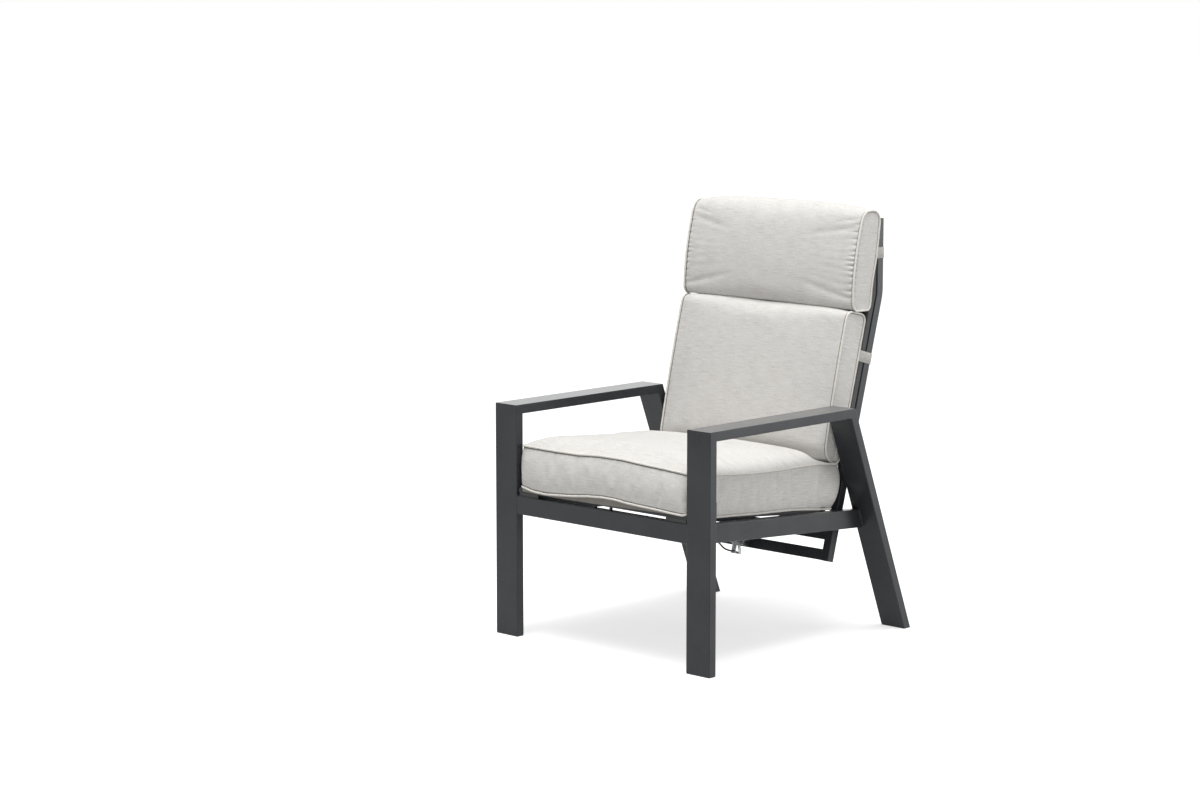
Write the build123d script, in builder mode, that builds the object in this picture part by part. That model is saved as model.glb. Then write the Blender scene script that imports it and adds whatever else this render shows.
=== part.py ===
from build123d import *
import os
from math import atan2, cos, degrees, radians, sin

# Reclining garden armchair in millimetres.
# X runs across the chair, +X to the sitter's left. -Y is the front. +Z is up.
# The origin lies on the floor, midway between the front legs' front faces and the rear feet's back corners.
# Places from front to back are given as depths behind the front face of the front legs.

# Driving dimensions of the two side frames
overall_width = 772.0
arm_height = 630.0
floor_depth = 825.0
arm_depth = 577.0
side_width = 80.0
side_thickness = 25.0
side_wall = 2.0
tube_corner_radius = 2.0
cut_overrun = 60.0

# Rails and cross tubes that join the side frames
rail_height = 50.0
rail_thickness = 25.0
rail_wall = 2.0
front_rail_setback = 1.0
side_rail_step = 2.5
side_rail_drop_angle = 3.75
cross_tube_size = 25.0
spring_tube_depth = 152.5
spring_tube_lift = 1.5

# Feet
glide_thickness = 3.0
glide_inset = 1.0
glide_spigot_length = 15.0
glide_fit = 0.2

# Seat deck
deck_front_depth = 5.0
deck_front_height = 408.0
deck_rise_over_rail = 22.0
deck_slope = 5.4
deck_end_gap = 57.0
deck_rail_gap = 4.0
deck_bar_width = 25.0
deck_bar_thickness = 12.0
deck_bar_wall = 1.5
rear_tube_inset = 3.0
end_spacer_length = 70.0
end_spacer_outset = 2.0
centre_spacer_width = 6.0
centre_spacer_depth = 6.0
centre_spacer_offset = 28.0
spacer_depth = 20.0

# Fabric slings
sling_thickness = 1.2
sling_end_gap = 5.0
sling_hem_width = 20.0

# Backrest frame
pivot_behind_arm = 40.0
pivot_below_rail = 17.0
back_lean = 15.7
back_half_width = 298.0
back_tube_size = 25.0
back_tube_wall = 2.0
back_tail_length = 116.5
back_upright_height = 199.5
back_bend_radius = 120.0
back_top_height = 1113.5
plug_thickness = 2.5
plug_spigot_length = 12.0
plug_fit = 0.2
top_tube_drop = 16.0
lower_tube_length = 150.0
crossbar_height = 30.0
crossbar_thickness = 15.0
crossbar_wall = 1.5
lower_crossbar_length = 103.4
upper_crossbar_length = 47.4

# Keder rails that hold the back sling
keder_start_length = 172.0
keder_groove = 4.0
keder_neck_width = 15.0
keder_neck_inset = 2.0
keder_depth = 19.0
keder_width = 21.0
keder_bore_radius = 2.5

# Recline pivots
pivot_bolt_radius = 5.0
pivot_head_radius = 8.5
pivot_head_height = 6.0
pivot_socket_width = 6.0
pivot_socket_depth = 3.5
pivot_running_clearance = 0.05
bush_radius = 8.0
bush_flange_radius = 12.0
bush_flange_thickness = 2.0
bush_length = 8.0
washer_radius = 12.0
face_clearance = 0.1
insert_radius = 9.0
insert_length = 14.0

# Lockable gas spring
spring_pin_reach = 27.0
spring_pin_drop = 5.5
spring_rear_offset = 27.5
cylinder_radius = 11.0
cylinder_start = 16.0
cylinder_length = 228.0
cylinder_wall = 1.5
gland_length = 10.0
gland_inset = 1.0
front_eye_radius = 9.0
front_eye_width = 16.0
spring_rod_radius = 5.0
rod_running_clearance = 0.05
rod_inner_length = 60.0
piston_length = 12.0
piston_clearance = 0.1
spring_pin_radius = 4.0
pin_head_radius = 7.0
pin_head_thickness = 3.0
pin_running_clearance = 0.05
lug_thickness = 4.0
lug_side_clearance = 1.0
lug_half_height = 12.0
bracket_base_thickness = 4.0
bracket_base_height = 24.0

# Release head and lever at the rod's rear end
head_half_width = 8.0
head_half_height = 11.0
head_length = 46.0
head_eye_clearance = 3.5
lever_pivot_length = 22.0
lever_pivot_drop = 4.0
lever_pin_radius = 2.0
lever_cheek_thickness = 2.5
lever_cheek_gap = 0.5
lever_width = 9.0
lever_length = 34.0
lever_hang_angle = 62.0
lever_web_height = 5.0
cable_stop_setback = 10.0
cable_stop_thickness = 3.0
cable_stop_drop = 39.0
cable_stop_half_width = 7.0
ferrule_radius = 4.0
ferrule_length = 12.0
wire_radius = 1.0
wire_slot_radius = 2.2
wire_slot_rise = 8.0
wire_end_setback = 8.0
nipple_radius = 3.0
nipple_length = 4.0

# Release cable and its clips
cable_radius = 2.5
cable_drop = 30.0
cable_corner_radius = 25.0
cable_easy_radius = 40.0
cable_inner_offset = 276.0
cable_cross_offset = 230.0
cable_cross_depth = 145.0
cable_leave_length = 288.0
cable_low_length = 325.0
clip_band_thickness = 1.5
clip_width = 8.0
clip_pad_length = 14.0
clip_outer_offset = 180.0
clip_inner_offset = 50.0
cylinder_clip_front = 30.0
cylinder_clip_rear = 150.0

# Hand lever on the side rail behind the sitter's left front leg
hand_pivot_depth = 46.0
hand_pivot_lift = 21.5
hand_box_length = 36.0
hand_box_width = 18.0
hand_box_height = 34.0
hand_box_wall = 2.0
hand_box_radius = 3.0
hand_pin_radius = 3.0
hand_pin_flange = 2.0
hand_end_clearance = 0.5
hand_drum_radius = 11.0
hand_neck_radius = 6.0
hand_arm_length = 85.0
hand_arm_width = 18.0
hand_arm_thickness = 4.5
hand_grip_length = 52.0
hand_grip_thickness = 11.0
hand_grip_radius = 2.0

# Straps that hold the back cushions
strap_width = 30.0
strap_thickness = 1.5
strap_clearance = 0.3
back_strap_below_bend = 179.0
head_strap_below_top = 89.5
strap_reach = 36.9

# Cushions
cushion_clearance = 0.3
cushion_bow = 3.0
cushion_edge_roll = 12.0
cushion_piping_inset = 2.0
cushion_crown_inset = 45.0
cushion_shoulder_inset = 120.0
cushion_flat_inset = 210.0
cushion_low_share = 0.35
cushion_shoulder_share = 0.75
seat_cushion_overhang = 39.0
seat_cushion_half_width = 298.0
seat_cushion_front_depth = 22.0
seat_cushion_piping = 106.0
seat_cushion_crown = 46.0
seat_cushion_tuck = 20.0
seat_cushion_corner = 30.0
seat_cushion_swell = 4.0
back_cushion_half_width = 294.0
back_cushion_bottom = 143.0
back_cushion_below_bend = 69.0
back_cushion_thickness = 72.0
back_cushion_crown = 22.0
back_cushion_corner = 16.0
head_cushion_half_width = 298.0
head_cushion_rise = 30.5
head_cushion_height = 260.0
head_cushion_crown = 22.0
head_cushion_bottom_reach = 120.0
head_cushion_top_reach = 82.0
head_cushion_corner = 4.0

os.makedirs("parts", exist_ok=True)

# Sizes worked out from the driving dimensions
front_y = -floor_depth / 2
outer_half = overall_width / 2
inner_half = outer_half - side_width
side_middle = (outer_half + inner_half) / 2
rake = atan2(floor_depth - arm_depth, arm_height)
lean = radians(back_lean)
front_rail_top = deck_front_height - deck_rise_over_rail
front_rail_bottom = front_rail_top - rail_height
side_rail_front_bottom = front_rail_bottom - side_rail_step
spring_tube_height = front_rail_bottom + spring_tube_lift
pivot_depth = arm_depth + pivot_behind_arm
pivot_height = front_rail_bottom - pivot_below_rail
deck_length = pivot_depth - deck_front_depth - deck_end_gap
back_bend_length = (back_top_height - back_upright_height - pivot_height) / cos(lean)


def side_point(depth, height):
    return Vector(0, front_y + depth, height)


def side_plane(depth, height, angle):
    """A plane seen from +X side on: its x runs rearward, turned up by the angle, and its z is +X."""
    turn = radians(angle)
    return Plane(side_point(depth, height), x_dir=(0, cos(turn), sin(turn)), z_dir=(1, 0, 0))


def section_plane(point, along):
    """A plane square to a member that runs in the chair's side view: its x is +X."""
    return Plane(point, x_dir=(1, 0, 0), z_dir=along)


def tube_section(width, height, wall):
    RectangleRounded(width, height, tube_corner_radius)
    bore_radius = tube_corner_radius / 2
    RectangleRounded(width - 2 * wall, height - 2 * wall, bore_radius, mode=Mode.SUBTRACT)


def mirrored_copy(source):
    with BuildPart() as other:
        mirror(source.part, about=Plane.YZ)
    return other


def save(name, piece):
    piece.part.label = name
    export_step(piece.part, f"parts/{name}.step")


def save_pair(name, left):
    save(f"{name}_left", left)
    save(f"{name}_right", mirrored_copy(left))


# Side frames: front leg, armrest and raked rear leg, mitred together
rake_direction = Vector(0, sin(rake), -cos(rake))
rear_corner = side_point(arm_depth, arm_height)
rear_corner_run = side_thickness * (1 - sin(rake)) / cos(rake)
rear_inner_corner = (
    rear_corner
    + rake_direction * rear_corner_run
    - Vector(0, cos(rake), sin(rake)) * side_thickness
)
front_mitre = Plane(side_point(0, arm_height), x_dir=(1, 0, 0), z_dir=(0, 1, 1))
rear_mitre_run = rear_corner - rear_inner_corner
rear_mitre = Plane(rear_corner, x_dir=(1, 0, 0), z_dir=rear_mitre_run.cross(Vector(1, 0, 0)))
leg_floor = Plane.XY.offset(glide_thickness)
rear_leg_middle = rear_corner - Vector(0, cos(rake), sin(rake)) * (side_thickness / 2)
rear_leg_length = arm_height / cos(rake)

with BuildPart() as front_leg:
    with BuildSketch(Plane.XY.offset(glide_thickness)):
        with Locations((side_middle, front_y + side_thickness / 2)):
            tube_section(side_width, side_thickness, side_wall)
    extrude(amount=arm_height - glide_thickness)
    split(bisect_by=front_mitre, keep=Keep.BOTTOM)
save_pair("front_leg", front_leg)

with BuildPart() as armrest:
    arm_middle = side_point(0, arm_height - side_thickness / 2)
    with BuildSketch(Plane(arm_middle, x_dir=(1, 0, 0), z_dir=(0, 1, 0))):
        with Locations((side_middle, 0)):
            tube_section(side_width, side_thickness, side_wall)
    extrude(amount=arm_depth)
    split(bisect_by=front_mitre, keep=Keep.TOP)
    split(bisect_by=rear_mitre, keep=Keep.BOTTOM)
save_pair("armrest", armrest)

with BuildPart() as rear_leg:
    with BuildSketch(section_plane(rear_leg_middle, rake_direction)):
        with Locations((side_middle, 0)):
            tube_section(side_width, side_thickness, side_wall)
    extrude(amount=rear_leg_length + cut_overrun)
    extrude(rear_leg.faces().sort_by(Axis.Z)[-1], amount=cut_overrun)
    split(bisect_by=rear_mitre, keep=Keep.TOP)
    split(bisect_by=leg_floor, keep=Keep.TOP)
save_pair("rear_leg", rear_leg)

# Foot glides, each a plate with a spigot in the tube's end
spigot_width = side_width - 2 * (side_wall + glide_fit)
spigot_depth = side_thickness - 2 * (side_wall + glide_fit)

with BuildPart() as front_foot_glides:
    with BuildSketch(Plane.XY):
        with Locations((side_middle, front_y + side_thickness / 2)):
            Rectangle(side_width - 2 * glide_inset, side_thickness - 2 * glide_inset)
    extrude(amount=glide_thickness)
    with BuildSketch(leg_floor):
        with Locations((side_middle, front_y + side_thickness / 2)):
            RectangleRounded(spigot_width, spigot_depth, tube_corner_radius)
    extrude(amount=glide_spigot_length)
    mirror(about=Plane.YZ)
save("front_foot_glides", front_foot_glides)

foot_run = side_thickness / cos(rake)
rear_foot_middle = floor_depth - foot_run / 2
with BuildPart() as rear_foot_glides:
    with BuildSketch(section_plane(rear_leg_middle, rake_direction)):
        with Locations((side_middle, 0)):
            RectangleRounded(spigot_width, spigot_depth, tube_corner_radius)
    extrude(amount=rear_leg_length + cut_overrun)
    split(bisect_by=leg_floor, keep=Keep.TOP)
    split(bisect_by=leg_floor.offset(glide_spigot_length), keep=Keep.BOTTOM)
    with BuildSketch(Plane.XY):
        with Locations((side_middle, front_y + rear_foot_middle)):
            Rectangle(side_width - 2 * glide_inset, foot_run - 2 * glide_inset)
    extrude(amount=glide_thickness)
    mirror(about=Plane.YZ)
save("rear_foot_glides", rear_foot_glides)

# Rails between the legs
drop = radians(side_rail_drop_angle)
side_rail_run = Vector(0, cos(drop), -sin(drop))
side_rail_middle_rise = rail_height / 2 / cos(drop)
side_rail_start = side_point(side_thickness, side_rail_front_bottom + side_rail_middle_rise)
leg_back = Plane(side_point(side_thickness, 0), x_dir=(1, 0, 0), z_dir=(0, 1, 0))
rear_leg_front = Plane(rear_inner_corner, x_dir=(1, 0, 0), z_dir=(0, cos(rake), sin(rake)))
side_rail_middle = inner_half + rail_thickness / 2

with BuildPart() as side_rail:
    with BuildSketch(section_plane(side_rail_start, side_rail_run)):
        with Locations((side_rail_middle, 0)):
            tube_section(rail_thickness, rail_height, rail_wall)
    extrude(amount=floor_depth)
    extrude(side_rail.faces().sort_by(Axis.Y)[0], amount=cut_overrun)
    split(bisect_by=leg_back, keep=Keep.TOP)
    split(bisect_by=rear_leg_front, keep=Keep.BOTTOM)
    with BuildSketch(side_plane(pivot_depth, pivot_height, 0).offset(inner_half)):
        Circle(pivot_bolt_radius)
    extrude(amount=rail_wall, mode=Mode.SUBTRACT)
save_pair("side_rail", side_rail)

with BuildPart() as front_rail:
    with BuildSketch(Plane.YZ):
        rail_depth = front_y + front_rail_setback + rail_thickness / 2
        with Locations((rail_depth, front_rail_bottom + rail_height / 2)):
            tube_section(rail_thickness, rail_height, rail_wall)
    extrude(amount=inner_half, both=True)
save("front_rail", front_rail)

with BuildPart() as spring_cross_tube:
    with BuildSketch(side_plane(spring_tube_depth, spring_tube_height, 0)):
        tube_section(cross_tube_size, cross_tube_size, rail_wall)
    extrude(amount=inner_half, both=True)
save("spring_cross_tube", spring_cross_tube)

# Seat deck, in its own side view: x runs rearward along the deck's top face, y is up from it
deck_side = side_plane(deck_front_depth, deck_front_height, -deck_slope)
deck_half = inner_half - deck_rail_gap
bar_middle = -deck_bar_thickness / 2
deck_top = Plane(deck_side.origin, x_dir=(1, 0, 0), z_dir=deck_side.y_dir)
deck_underside = deck_top.offset(-deck_bar_thickness)


def deck_cross_bar(along, width, height, drop_to_middle, half_length, wall):
    with BuildPart() as bar:
        with BuildSketch(deck_side):
            with Locations((along, drop_to_middle)):
                tube_section(width, height, wall)
        extrude(amount=half_length, both=True)
    return bar


front_bar_place = deck_bar_width / 2
rear_bar_place = deck_length - deck_bar_width / 2
save(
    "deck_front_bar",
    deck_cross_bar(
        front_bar_place, deck_bar_width, deck_bar_thickness, bar_middle, deck_half, deck_bar_wall
    ),
)
save(
    "deck_rear_bar",
    deck_cross_bar(
        rear_bar_place, deck_bar_width, deck_bar_thickness, bar_middle, deck_half, deck_bar_wall
    ),
)
rear_tube_place = deck_length - rear_tube_inset - cross_tube_size / 2
rear_tube_middle = -deck_bar_thickness - cross_tube_size / 2
save(
    "rear_cross_tube",
    deck_cross_bar(
        rear_tube_place, cross_tube_size, cross_tube_size, rear_tube_middle, inner_half, rail_wall
    ),
)

with BuildPart() as deck_side_bar:
    side_bar_middle = deck_half - deck_bar_width / 2
    side_bar_start = deck_side.from_local_coords(Vector(deck_bar_width, bar_middle, 0))
    with BuildSketch(section_plane(side_bar_start, deck_side.x_dir)):
        with Locations((side_bar_middle, 0)):
            tube_section(deck_bar_width, deck_bar_thickness, deck_bar_wall)
    extrude(amount=deck_length - 2 * deck_bar_width)
save_pair("deck_side_bar", deck_side_bar)

with BuildPart() as deck_spacers:
    spacer_middle = front_y + deck_front_depth + spacer_depth / 2
    end_spacer_middle = inner_half - end_spacer_outset - deck_rail_gap - end_spacer_length / 2
    with BuildSketch(Plane.XY.offset(front_rail_top)):
        with Locations((end_spacer_middle, spacer_middle)):
            Rectangle(end_spacer_length, spacer_depth)
        with Locations((centre_spacer_offset, spacer_middle)):
            Rectangle(centre_spacer_width, centre_spacer_depth)
    extrude(amount=deck_front_height - front_rail_top)
    split(bisect_by=deck_underside, keep=Keep.BOTTOM)
    mirror(about=Plane.YZ)
save("deck_spacers", deck_spacers)

with BuildPart() as seat_sling:
    sling_start = deck_bar_width + sling_end_gap
    sling_run = deck_length - 2 * sling_start
    sling_origin = deck_side.from_local_coords(Vector(sling_start, 0, 0))
    hem_bottom = deck_bar_thickness + sling_thickness
    outer_edge = deck_half + sling_thickness
    hem_edge = deck_half - sling_hem_width
    with BuildSketch(section_plane(sling_origin, deck_side.x_dir)):
        with BuildLine():
            Polyline(
                (0, -sling_thickness),
                (outer_edge, -sling_thickness),
                (outer_edge, hem_bottom),
                (hem_edge, hem_bottom),
                (hem_edge, deck_bar_thickness),
                (deck_half, deck_bar_thickness),
                (deck_half, 0),
                (0, 0),
                close=True,
            )
        make_face()
        mirror(about=Plane.YZ)
    extrude(amount=sling_run)
save("seat_sling", seat_sling)

# Backrest frame, in its own side view: x runs up the tubes from the pivot, y is forward
back_side = side_plane(pivot_depth, pivot_height, 90 - back_lean)
pivot_point = side_point(pivot_depth, pivot_height)
back_direction = back_side.x_dir
forward_direction = back_side.y_dir
back_bend = pivot_point + back_direction * back_bend_length
back_top = Vector(0, back_bend.Y, back_top_height)
back_tube_middle = back_half_width - back_tube_size / 2
half_tube = back_tube_size / 2


def back_place(length, forward):
    return pivot_point + back_direction * length + forward_direction * forward


def back_path(length):
    """The tubes' centre line on the chair's middle plane, from a length above the pivot to the top."""
    with BuildLine() as path:
        FilletPolyline(back_place(length, 0), back_bend, back_top, radius=back_bend_radius)
    return path


def back_section_plane(length):
    return section_plane(back_place(length, 0), back_direction)


tube_path = back_path(-back_tail_length)
with BuildPart() as back_side_tube:
    with BuildSketch(back_section_plane(-back_tail_length)):
        with Locations((back_tube_middle, 0)):
            tube_section(back_tube_size, back_tube_size, back_tube_wall)
    sweep(path=tube_path.wires()[0])
    with BuildSketch(back_side.offset(back_tube_middle)):
        Circle(bush_radius)
    extrude(amount=back_tube_size, both=True, mode=Mode.SUBTRACT)
save_pair("back_side_tube", back_side_tube)

plug_spigot = back_tube_size - 2 * (back_tube_wall + plug_fit)
with BuildPart() as back_tube_plugs:
    with BuildSketch(Plane(back_top, x_dir=(1, 0, 0), z_dir=(0, 0, 1))):
        with Locations((back_tube_middle, 0)):
            RectangleRounded(back_tube_size, back_tube_size, tube_corner_radius)
    extrude(amount=plug_thickness)
    with BuildSketch(Plane(back_top, x_dir=(1, 0, 0), z_dir=(0, 0, 1))):
        with Locations((back_tube_middle, 0)):
            RectangleRounded(plug_spigot, plug_spigot, tube_corner_radius)
    extrude(amount=-plug_spigot_length)
    with BuildSketch(back_section_plane(-back_tail_length)):
        with Locations((back_tube_middle, 0)):
            RectangleRounded(back_tube_size, back_tube_size, tube_corner_radius)
    extrude(amount=-plug_thickness)
    with BuildSketch(back_section_plane(-back_tail_length)):
        with Locations((back_tube_middle, 0)):
            RectangleRounded(plug_spigot, plug_spigot, tube_corner_radius)
    extrude(amount=plug_spigot_length)
    mirror(about=Plane.YZ)
save("back_tube_plugs", back_tube_plugs)

cross_half = back_half_width - back_tube_size
top_tube_depth = back_bend.Y - front_y


def back_cross_bar(length, height, thickness, wall):
    with BuildPart() as bar:
        with BuildSketch(back_side):
            with Locations((length, 0)):
                tube_section(height, thickness, wall)
        extrude(amount=cross_half, both=True)
    return bar


with BuildPart() as back_top_tube:
    with BuildSketch(side_plane(top_tube_depth, back_top_height - top_tube_drop, 0)):
        tube_section(back_tube_size, back_tube_size, back_tube_wall)
    extrude(amount=cross_half, both=True)
save("back_top_tube", back_top_tube)

save(
    "back_lower_tube",
    back_cross_bar(lower_tube_length, back_tube_size, back_tube_size, back_tube_wall),
)
save(
    "upper_crossbar",
    back_cross_bar(-upper_crossbar_length, crossbar_height, crossbar_thickness, crossbar_wall),
)
save(
    "lower_crossbar",
    back_cross_bar(-lower_crossbar_length, crossbar_height, crossbar_thickness, crossbar_wall),
)

# Keder rails in front of the side tubes, and the sling that they hold
keder_path = back_path(keder_start_length)
keder_back = half_tube + keder_groove
keder_front = keder_back + keder_depth
keder_outer = back_half_width - sling_thickness
keder_inner = keder_outer - keder_width
with BuildPart() as keder_rail:
    with BuildSketch(back_section_plane(keder_start_length)):
        neck_middle = keder_inner + keder_neck_inset + keder_neck_width / 2
        with Locations((neck_middle, -(half_tube + keder_back) / 2)):
            Rectangle(keder_neck_width, keder_groove)
        with Locations(((keder_outer + keder_inner) / 2, -(keder_back + keder_front) / 2)):
            Rectangle(keder_width, keder_depth)
            Circle(keder_bore_radius, mode=Mode.SUBTRACT)
    sweep(path=keder_path.wires()[0])
save_pair("keder_rail", keder_rail)

with BuildPart() as back_sling:
    with BuildSketch(back_section_plane(keder_start_length)):
        with Locations((0, -keder_front - sling_thickness / 2)):
            Rectangle(2 * back_half_width, sling_thickness)
    sweep(path=keder_path.wires()[0])
save("back_sling", back_sling)

with BuildPart() as back_sling_hems:
    with BuildSketch(back_section_plane(keder_start_length)):
        with Locations((back_half_width - sling_thickness / 2, -(keder_back + keder_front) / 2)):
            Rectangle(sling_thickness, keder_depth)
    sweep(path=keder_path.wires()[0])
    mirror(about=Plane.YZ)
save("back_sling_hems", back_sling_hems)

# Recline pivots, turned about X through the pivot point
pivot_gap = inner_half - back_half_width
washer_length = pivot_gap - bush_flange_thickness - face_clearance
tube_inner_face = back_half_width - back_tube_size
head_seat = tube_inner_face - bush_flange_thickness - face_clearance
insert_start = inner_half + rail_wall


def on_pivot(across):
    return back_side.offset(across)


with BuildPart() as pivot_bushes:
    bush_bore = pivot_bolt_radius + pivot_running_clearance
    for face, outward in ((back_half_width, 1), (tube_inner_face, -1)):
        with BuildSketch(on_pivot(face)):
            Circle(bush_flange_radius)
            Circle(bush_bore, mode=Mode.SUBTRACT)
        extrude(amount=outward * bush_flange_thickness)
        with BuildSketch(on_pivot(face)):
            Circle(bush_radius)
            Circle(bush_bore, mode=Mode.SUBTRACT)
        extrude(amount=-outward * bush_length)
    mirror(about=Plane.YZ)
save("pivot_bushes", pivot_bushes)

with BuildPart() as pivot_washers:
    with BuildSketch(on_pivot(inner_half)):
        Circle(washer_radius)
        Circle(pivot_bolt_radius, mode=Mode.SUBTRACT)
    extrude(amount=-washer_length)
    mirror(about=Plane.YZ)
save("pivot_washers", pivot_washers)

with BuildPart() as pivot_bolts:
    with BuildSketch(on_pivot(head_seat)):
        Circle(pivot_bolt_radius)
    extrude(amount=insert_start + insert_length - head_seat)
    with BuildSketch(on_pivot(head_seat)):
        Circle(pivot_head_radius)
    extrude(amount=-pivot_head_height)
    with BuildSketch(on_pivot(head_seat - pivot_head_height)):
        RegularPolygon(pivot_socket_width / 2, 6, major_radius=False)
    extrude(amount=pivot_socket_depth, mode=Mode.SUBTRACT)
    mirror(about=Plane.YZ)
save("pivot_bolts", pivot_bolts)

with BuildPart() as pivot_inserts:
    with BuildSketch(on_pivot(insert_start)):
        RegularPolygon(insert_radius, 6)
        Circle(pivot_bolt_radius, mode=Mode.SUBTRACT)
    extrude(amount=insert_length)
    mirror(about=Plane.YZ)
save("pivot_inserts", pivot_inserts)

# Gas spring, in its own side view: x runs from the front pin to the rear pin, y is up from the axis
cross_tube_back = spring_tube_depth + cross_tube_size / 2
spring_front_depth = cross_tube_back + spring_pin_reach
spring_front_height = spring_tube_height - spring_pin_drop
spring_front = side_point(spring_front_depth, spring_front_height)
spring_rear = back_place(-lower_crossbar_length, spring_rear_offset)
spring_run = spring_rear - spring_front
spring_length = spring_run.length
spring_angle = degrees(atan2(spring_run.Z, spring_run.Y))
spring_side = side_plane(spring_front_depth, spring_front_height, spring_angle)
spring_direction = spring_side.x_dir
lug_inner = front_eye_width / 2 + lug_side_clearance
lug_outer = lug_inner + lug_thickness


def spring_place(along, up):
    return spring_side.from_local_coords(Vector(along, up, 0))


def spring_section_plane(along):
    return section_plane(spring_place(along, 0), spring_direction)


def pin_through(side, half_length):
    """A headed pin across the chair at the origin of the side view given."""
    with BuildPart() as pin:
        with BuildSketch(side):
            Circle(spring_pin_radius)
        extrude(amount=half_length, both=True)
        for face in (half_length, -half_length - pin_head_thickness):
            with BuildSketch(side.offset(face)):
                Circle(pin_head_radius)
            extrude(amount=pin_head_thickness)
    return pin


def lug_bracket(side, base_distance, base_middle):
    """A base plate and two lugs; the side view has its origin at the pin and the base behind it on x."""
    with BuildPart() as bracket:
        with BuildSketch(side):
            with Locations((-base_distance + bracket_base_thickness / 2, base_middle)):
                Rectangle(bracket_base_thickness, bracket_base_height)
        extrude(amount=lug_outer, both=True)
        for face in (lug_inner, -lug_outer):
            with BuildSketch(side.offset(face)):
                Circle(lug_half_height)
                with Locations((-base_distance / 2, 0)):
                    Rectangle(base_distance, 2 * lug_half_height)
                Circle(spring_pin_radius, mode=Mode.SUBTRACT)
            extrude(amount=lug_thickness)
    return bracket


cylinder_end = cylinder_start + cylinder_length
with BuildPart() as gas_cylinder:
    with BuildSketch(spring_section_plane(cylinder_start)):
        Circle(cylinder_radius)
    extrude(amount=cylinder_length)
    with BuildSketch(spring_section_plane(cylinder_start + cylinder_wall)):
        Circle(cylinder_radius - cylinder_wall)
    extrude(amount=cylinder_length, mode=Mode.SUBTRACT)
save("gas_cylinder", gas_cylinder)

gland_start = cylinder_end - gland_inset - gland_length
with BuildPart() as cylinder_gland:
    with BuildSketch(spring_section_plane(gland_start)):
        Circle(cylinder_radius - cylinder_wall)
        Circle(spring_rod_radius + rod_running_clearance, mode=Mode.SUBTRACT)
    extrude(amount=gland_length)
save("cylinder_gland", cylinder_gland)

with BuildPart() as cylinder_eye:
    with BuildSketch(spring_side):
        Circle(front_eye_radius)
    extrude(amount=front_eye_width / 2, both=True)
    with BuildSketch(spring_section_plane(0)):
        Circle(front_eye_width / 2)
    extrude(amount=cylinder_start)
    with BuildSketch(spring_side):
        Circle(spring_pin_radius + pin_running_clearance)
    extrude(amount=front_eye_width, both=True, mode=Mode.SUBTRACT)
save("cylinder_eye", cylinder_eye)

front_bracket_side = side_plane(spring_front_depth, spring_front_height, 0)
save("spring_front_bracket", lug_bracket(front_bracket_side, spring_pin_reach, spring_pin_drop))
save("spring_front_pin", pin_through(front_bracket_side, lug_outer))

rear_bracket_side = Plane(spring_rear, x_dir=forward_direction, z_dir=(1, 0, 0))
save(
    "spring_rear_bracket",
    lug_bracket(rear_bracket_side, spring_rear_offset - crossbar_thickness / 2, 0),
)
save("spring_rear_pin", pin_through(rear_bracket_side, lug_outer))

# The gas spring's rod with its piston, and the release head that it carries
head_start = spring_length - head_length + head_half_height
rod_end = head_start + head_half_height
piston_start = gland_start - rod_inner_length
lever_pivot = Vector(spring_length - lever_pivot_length, -lever_pivot_drop, 0)
with BuildPart() as piston_rod:
    with BuildSketch(spring_section_plane(piston_start)):
        Circle(spring_rod_radius)
    extrude(amount=rod_end - piston_start)
    with BuildSketch(spring_section_plane(piston_start)):
        Circle(cylinder_radius - cylinder_wall - piston_clearance)
    extrude(amount=piston_length)
save("piston_rod", piston_rod)

with BuildPart() as release_head:
    with BuildSketch(spring_side):
        with Locations((spring_length, 0)):
            Circle(head_half_height)
        with Locations(((head_start + spring_length) / 2, 0)):
            Rectangle(spring_length - head_start, 2 * head_half_height)
        with Locations((spring_length, 0)):
            Circle(spring_pin_radius + head_eye_clearance, mode=Mode.SUBTRACT)
        with Locations((lever_pivot.X, lever_pivot.Y)):
            Circle(lever_pin_radius, mode=Mode.SUBTRACT)
    extrude(amount=head_half_width, both=True)
    with BuildSketch(spring_section_plane(head_start)):
        Circle(spring_rod_radius)
    extrude(amount=head_half_height, mode=Mode.SUBTRACT)
save("release_head", release_head)

cheek_inner = head_half_width + lever_cheek_gap
cheek_outer = cheek_inner + lever_cheek_thickness
with BuildPart() as release_lever_pin:
    with BuildSketch(spring_side):
        with Locations((lever_pivot.X, lever_pivot.Y)):
            Circle(lever_pin_radius)
    extrude(amount=cheek_outer + lever_cheek_gap, both=True)
save("release_lever_pin", release_lever_pin)

# The release lever, in a side view of its own: x runs down its arm from its pivot
lever_origin = spring_side.from_local_coords(lever_pivot)
lever_turn = radians(spring_angle - lever_hang_angle)
lever_direction = (0, cos(lever_turn), sin(lever_turn))
lever_side = Plane(lever_origin, x_dir=lever_direction, z_dir=(1, 0, 0))
wire_bore = wire_radius + pin_running_clearance
lever_foot = lever_side.from_local_coords(Vector(lever_length, 0, 0))
wire_level = spring_side.to_local_coords(lever_foot).Y
foot_along = spring_side.to_local_coords(lever_foot).X


def wire_section_plane(along):
    return section_plane(spring_place(along, wire_level), spring_direction)


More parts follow.
